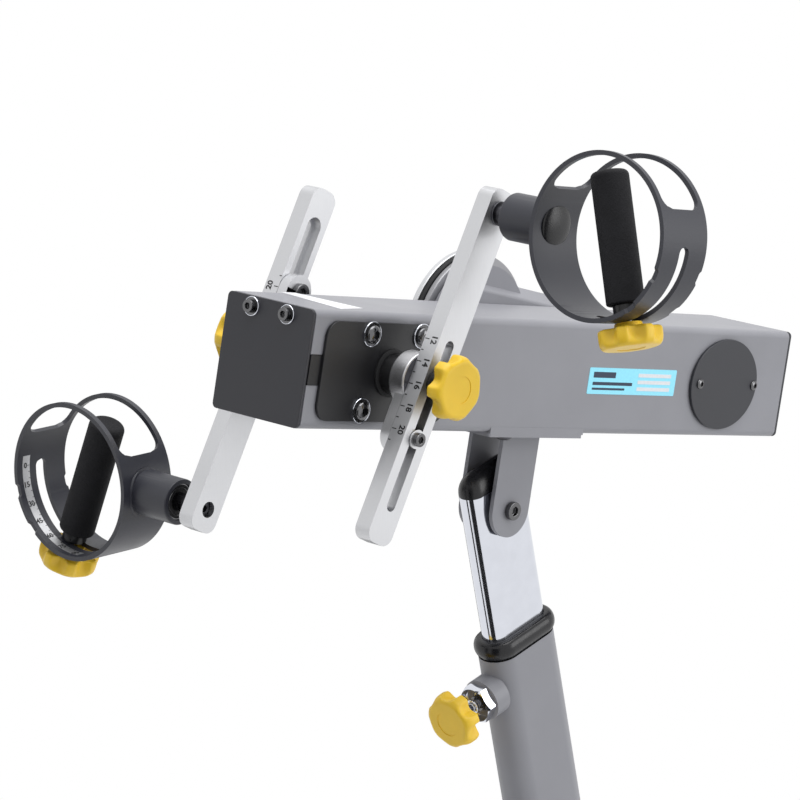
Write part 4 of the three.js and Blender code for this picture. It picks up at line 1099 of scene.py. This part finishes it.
def makeCollar():
    # a rounded bead of rubber, thickest at half its height
    o = outer
    top, low = o.top + o.height, o.top + 0.3
    middle, rise = (top + low) / 2, (top - low) / 2
    bead = [(low, 0)]
    for k in range(1, 20):
        turn = -pi / 2 + pi * k / 20
        bead.append((middle + rise * sin(turn), o.lip - 6.5 + 6.5 * cos(turn) ** 0.8))
    bead = [(z, max(out, -1.2) if z < middle else out) for z, out in bead] + [(top, o.lip - 6.4)]
    body = stadiumLevels(o.depth, o.thick, bead)
    sleeve = stadiumRod(*o.sleeve, low + 1)
    passage = stadiumRod(*o.passage, top + 5)
    weld(body, sleeve)
    cutAway(body, passage, rod("X", 4.5, -60, 0, 0, o.drop, 24))
    soften(body, 0.4, 2, 50)
    mastPiece(body, "mastCollar", glossRubber, "stand", "mast_collar", smooth=45)


plunger = Sizes(bore=7.6, hole=4.4, pin=4.1, sleeve=9.7, stop=7.2, neck=6.8, inside=-42.4,
    through=(-30, -90), pinEnds=(-30, -92))


def makePlunger():
    o, p = outer, plunger
    r, start, end, z = o.nut, o.nutFrom, o.nutTo, o.drop

    def piece(radius, low, high, sides=48):
        return rod("X", radius, low, high, 0, z, sides)

    nut = piece(r, start, end, 6)
    chamfer = spun([(nearAxis, end), (r * 0.87, end), (r + 0.4, end + 2), (r + 0.4, start - 2),
        (r * 0.9, start), (nearAxis, start)], "X", 96, 0, z)
    keepCommon(nut, chamfer)
    cutAway(nut, piece(p.bore, start + 5, end + 2.7))
    soften(nut, 0.35, 2, 25)
    sleeve = piece(p.sleeve, p.inside, start + 1)
    cutAway(sleeve, piece(p.bore, *p.through))
    cutAway(nut, piece(p.hole, *p.through, 32))
    mastPiece(gather(nut, sleeve), "plungerNut", chromePlate, "stand", "plunger_housing", smooth=20)
    neck = piece(p.neck, end - 0.2, end - 3.4)
    cutAway(neck, piece(p.hole, *p.through, 32))
    soften(neck, 0.8, 3)
    mastPiece(neck, "plungerNeck", chromePlate, "stand")
    pin = piece(p.pin, *p.pinEnds, 32)
    soften(pin, 0.6)
    stop = piece(p.stop, p.inside - 0.2, p.inside - 3.2, 32)
    mastPiece(gather(pin, stop), "plungerPin", chromePlate, "plunger", "plunger_pin")
    body, hub, stud = starBody(**pullKnob)
    bpy.data.objects.remove(stud)
    body = gather(body, hub)
    body.data.transform(Matrix.Translation((o.knob, 0, z)) @ Matrix.Rotation(pi / 2, 4, "Y"))
    mastPiece(body, "pullKnob", yellowPlastic, "plunger", "plunger_knob", smooth=55)


makeInnerTube()
makeCap()
makeOuterTube()
makeCollar()
makePlunger()
print("mast built")


# Drum brake behind the head: sloping housing with a round dome, two flanges and a gasket

brake = Sizes(x=236, z=21, box=(196, 392), low=-42, front=50.3, end=66, topFront=65.2, fall=-0.1184,
    rise=0.66, dome=62, domeFrom=57, flange=70, gasket=71.5, back=73, inner=60,
    bore=12.6, screwRadius=66)


def makeBrake():
    b = brake
    body = block(b.box, (b.front, b.end), (b.low, 110))
    startEdit(body)
    bpy.ops.mesh.bisect(plane_co=(b.box[0], b.front, b.topFront), plane_no=(-b.fall, -b.rise, 1),
        use_fill=True, clear_outer=True)
    leaveEdit()
    soften(body, 2.2, 4)
    weld(body, rod("Y", b.dome, b.domeFrom, b.end, b.x, b.z, 160))
    cutAway(body, rod("Y", b.dome - 2.5, b.domeFrom + 2.5, b.end + 5, b.x, b.z, 96),
        rod("Y", b.bore, 40, 80, b.x, b.z, 48))
    soften(body, 1.2, 3, 50)
    headPiece(body, "brakeHousing", greyPaint, "brake_housing", smooth=40)

    def shell(name, profile, finish, stands):
        headPiece(hoop(profile, "Y", 160, b.x, b.z), name, finish, stands)

    inner, r = b.inner, b.flange
    shell("brakeFrontShell", [(b.bore, 66.3), (r - 0.8, 66.3), (r, 67.1), (r, 70.8), (r - 0.6, 71.5),
        (inner, 71.5), (inner, 68.9), (b.bore, 68.9)], shellMetal, "brake_front_shell")
    r = b.gasket
    shell("brakeGasket", [(inner, 71.8), (r - 0.5, 71.8), (r, 72.3), (r, 75.5), (r - 0.5, 76), (inner, 76)],
        blackRubber, "brake_spacer")
    r = b.back
    shell("brakeBackShell", [(inner, 76.3), (r - 0.8, 76.3), (r, 77.1), (r, 81), (r - 1.5, 82.5),
        (nearAxis, 82.5), (nearAxis, 80), (inner, 80)], satinAluminium, "brake_back_shell")
    heads = []
    for k in range(6):
        turn = pi / 3 * k + 0.3
        x, z = b.x + b.screwRadius * cos(turn), b.z + b.screwRadius * sin(turn)
        heads.append(domedHead("Y", 3.6, 82.5, 1, 2.4, x, z))
    headPiece(gather(*heads), "brakeScrews", boltSteel)


makeBrake()
print("brake built")


# Floor stand: a beam, two cross tubes and four rubber feet

stand = Sizes(front=-470, back=250, beamHalf=40, beam=(60, 109.7), cross=(19.7, 59.7), crossAt=(-410, 190),
    crossHalf=30, reach=280, corner=8, wall=3, bolt=8, boltY=24, capGap=0.3, capThick=4, padHalf=24,
    padLength=60, grooves=6, groovePitch=8, grooveHalf=1.2, grooveDepth=1.5, stemLength=12, stemInset=3.4)
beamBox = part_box("floor_beam")
standFrame = frameOf((beamBox[0].x + 0.001 * abs(stand.front), 0, 0), x=(1, 0, 0), y=(0, 1, 0))


def makeStand():
    s = stand
    beam = block((s.front, s.back), (-s.beamHalf, s.beamHalf), s.beam, 4, "X", 6)
    soften(beam, 1, 3)
    cutAway(beam, rod("Z", 4, 50, 66, 0, 0, 32))
    finishPiece(beam, "floorBeam", standFrame, greyPaint, "stand", "floor_beam")
    heads = []
    for index, x in enumerate(s.crossAt):
        half, reach = s.crossHalf, s.reach
        tube = block((x - half, x + half), (-reach, reach), s.cross, s.corner, "Y", 8)
        cutAway(tube, block((x - half + s.wall, x + half - s.wall), (-reach - 5, reach + 5),
            (s.cross[0] + s.wall, s.cross[1] - s.wall), s.corner - s.wall, "Y", 6))
        name = "Front" if index == 0 else "Rear"
        finishPiece(tube, f"stabiliser{name}", standFrame, greyPaint, "stand",
            f"stabiliser_{name.lower()}")
        for y in (-s.boltY, s.boltY):
            heads.append(domedHead("Z", s.bolt, s.beam[1] - 0.05, 1, 4.5, x, y))
        for k, way in enumerate((-1, 1)):
            inside = way * (reach + 1)
            y0, y1 = way * (reach + s.capGap), way * (reach + s.capGap + s.capThick)
            end = block((x - half, x + half), (y0, y1), (0, s.cross[1]), s.corner, "Y", 8)
            soften(end, 0.9, 3)
            pad = block((x - s.padHalf, x + s.padHalf), (way * (reach - s.padLength), inside),
                (0, s.cross[0] - s.capGap), 5, "Z", 5)
            for n in range(1, s.grooves + 1):
                y = way * (reach - s.groovePitch * n)
                cutAway(pad, block((x - half, x + half), (y - s.grooveHalf, y + s.grooveHalf),
                    (-1, s.grooveDepth)))
            width = half - s.wall - s.stemInset - 1
            stem = block((x - width, x + width), (way * (reach - s.stemLength), inside),
                (s.cross[0] + s.stemInset, s.cross[1] - s.stemInset), 2, "Y", 3)
            number = 2 * index + k + 1
            finishPiece(gather(end, pad, stem), f"foot_{number}", standFrame, blackRubber, "stand",
                f"stand_foot_{number}")
    finishPiece(gather(*heads), "beamBolts", standFrame, boltSteel, "stand")


makeStand()
print("stand built")

# Inner parts that keep the shape of their node
innerFinishes = {"belt": blackRubber, "pulley": blackPlastic, "spring": boltSteel, "bearing": turnedSteel,
    "shaft": turnedSteel, "axle": turnedSteel, "spindle": boltSteel, "rotor": turnedSteel,
    "magnet": turnedSteel, "bridge": darkPaint}
for name, node in frame["nodes"].items():
    for word, finish in innerFinishes.items():
        if word in name:
            for slot in node.material_slots:
                slot.material = finish
print("inner parts finished")


# Light: a large soft lamp straight above, a weaker one on the near side and a white studio around
studio = Sizes(white=1.0, glow=0.75, floor=0.9)

# cards: direction seen from above in degrees, its width there, low and high edge
cards = Sizes(distance=4.0, centre=(-0.1, 0), panels=((-155, 37, -3.6, 2.2), (163, 14, -3.6, 2.2),
    (55, 16, -3.6, 2.2)))


def addCards():
    # black cards outside the picture, which give polished metal its dark stripes
    c = cards
    card = moulded("cardBlack", linear(9, 9, 11), 0.8, 0.1)
    for index, (turn, width, low, high) in enumerate(c.panels):
        reach = c.distance * tan(radians(width / 2))
        panel = block((-0.01, 0.01), (-reach, reach), (low, high), 0.004, "Z", 2)
        middle = Vector((cos(radians(turn)), sin(radians(turn)), 0)) * c.distance
        shift = Matrix.Translation(middle + Vector((*c.centre, 0)))
        panel.data.transform(shift @ Matrix.Rotation(radians(turn), 4, "Z"))
        panel.name = f"card_{index + 1}"
        panel.data.materials.append(card)
        panel.visible_camera = False


def buildStudio():
    floor = block((-1.1, 1.1), (-0.9, 0.9), (-0.02, 0))
    selectParts(floor, "EDGE", lambda edge: True)
    bpy.ops.mesh.bevel(offset=0.004, segments=2, affect="EDGES")
    leaveEdit()
    floor.name = "floor"
    finish, shader = newFinish("paleFloor")
    tint(shader, grain(shader, 3), (studio.floor,) * 3, 0.02)
    setInputs(shader, {"Roughness": 0.6})
    floor.data.materials.append(finish)
    floor.visible_glossy = False

    # what the camera, mirrors and glass see is plain white, and what lights the object is softer
    world = bpy.data.worlds.new("studio")
    bpy.context.scene.world = world
    world.use_nodes = True
    world.node_tree.nodes.clear()
    out = world.node_tree.nodes.new("ShaderNodeOutputWorld")
    seen = addNode(out, "Background", {"Color": (1, 1, 1, 1), "Strength": studio.white})
    lit = addNode(out, "Background", {"Color": (0.96, 0.98, 1, 1), "Strength": studio.glow})
    path = addNode(out, "LightPath", {})
    mix = addNode(out, "MixShader", {})
    source = path.outputs["Is Camera Ray"]
    for ray in ("Is Glossy Ray", "Is Transmission Ray"):
        either = addNode(out, "Math", {})
        either.operation = "MAXIMUM"
        wire(source, either.inputs[0])
        wire(path.outputs[ray], either.inputs[1])
        source = either.outputs[0]
    wire(source, mix.inputs["Fac"])
    wire(lit.outputs["Background"], mix.inputs[1])
    wire(seen.outputs["Background"], mix.inputs[2])
    wire(mix.outputs["Shader"], out.inputs["Surface"])


def addLamp(name, place, target, size, power):
    bpy.ops.object.light_add(type="AREA", location=place)
    lamp = bpy.context.object
    lamp.name = name
    lamp.data.shape = "RECTANGLE"
    lamp.data.size, lamp.data.size_y = size
    lamp.data.energy = power
    lamp.rotation_euler = (Vector(target) - Vector(place)).to_track_quat("-Z", "Y").to_euler()


buildStudio()
addCards()
addLamp("key", (0.1, -0.2, 3.5), (0, 0, 0.9), (2.4, 2.4), 56)
addLamp("side", (1.6, -2.8, 1.7), (0.1, 0, 0.9), (1.6, 2.0), 27)
bpy.context.scene.view_settings.view_transform = "Standard"
print("studio lit")
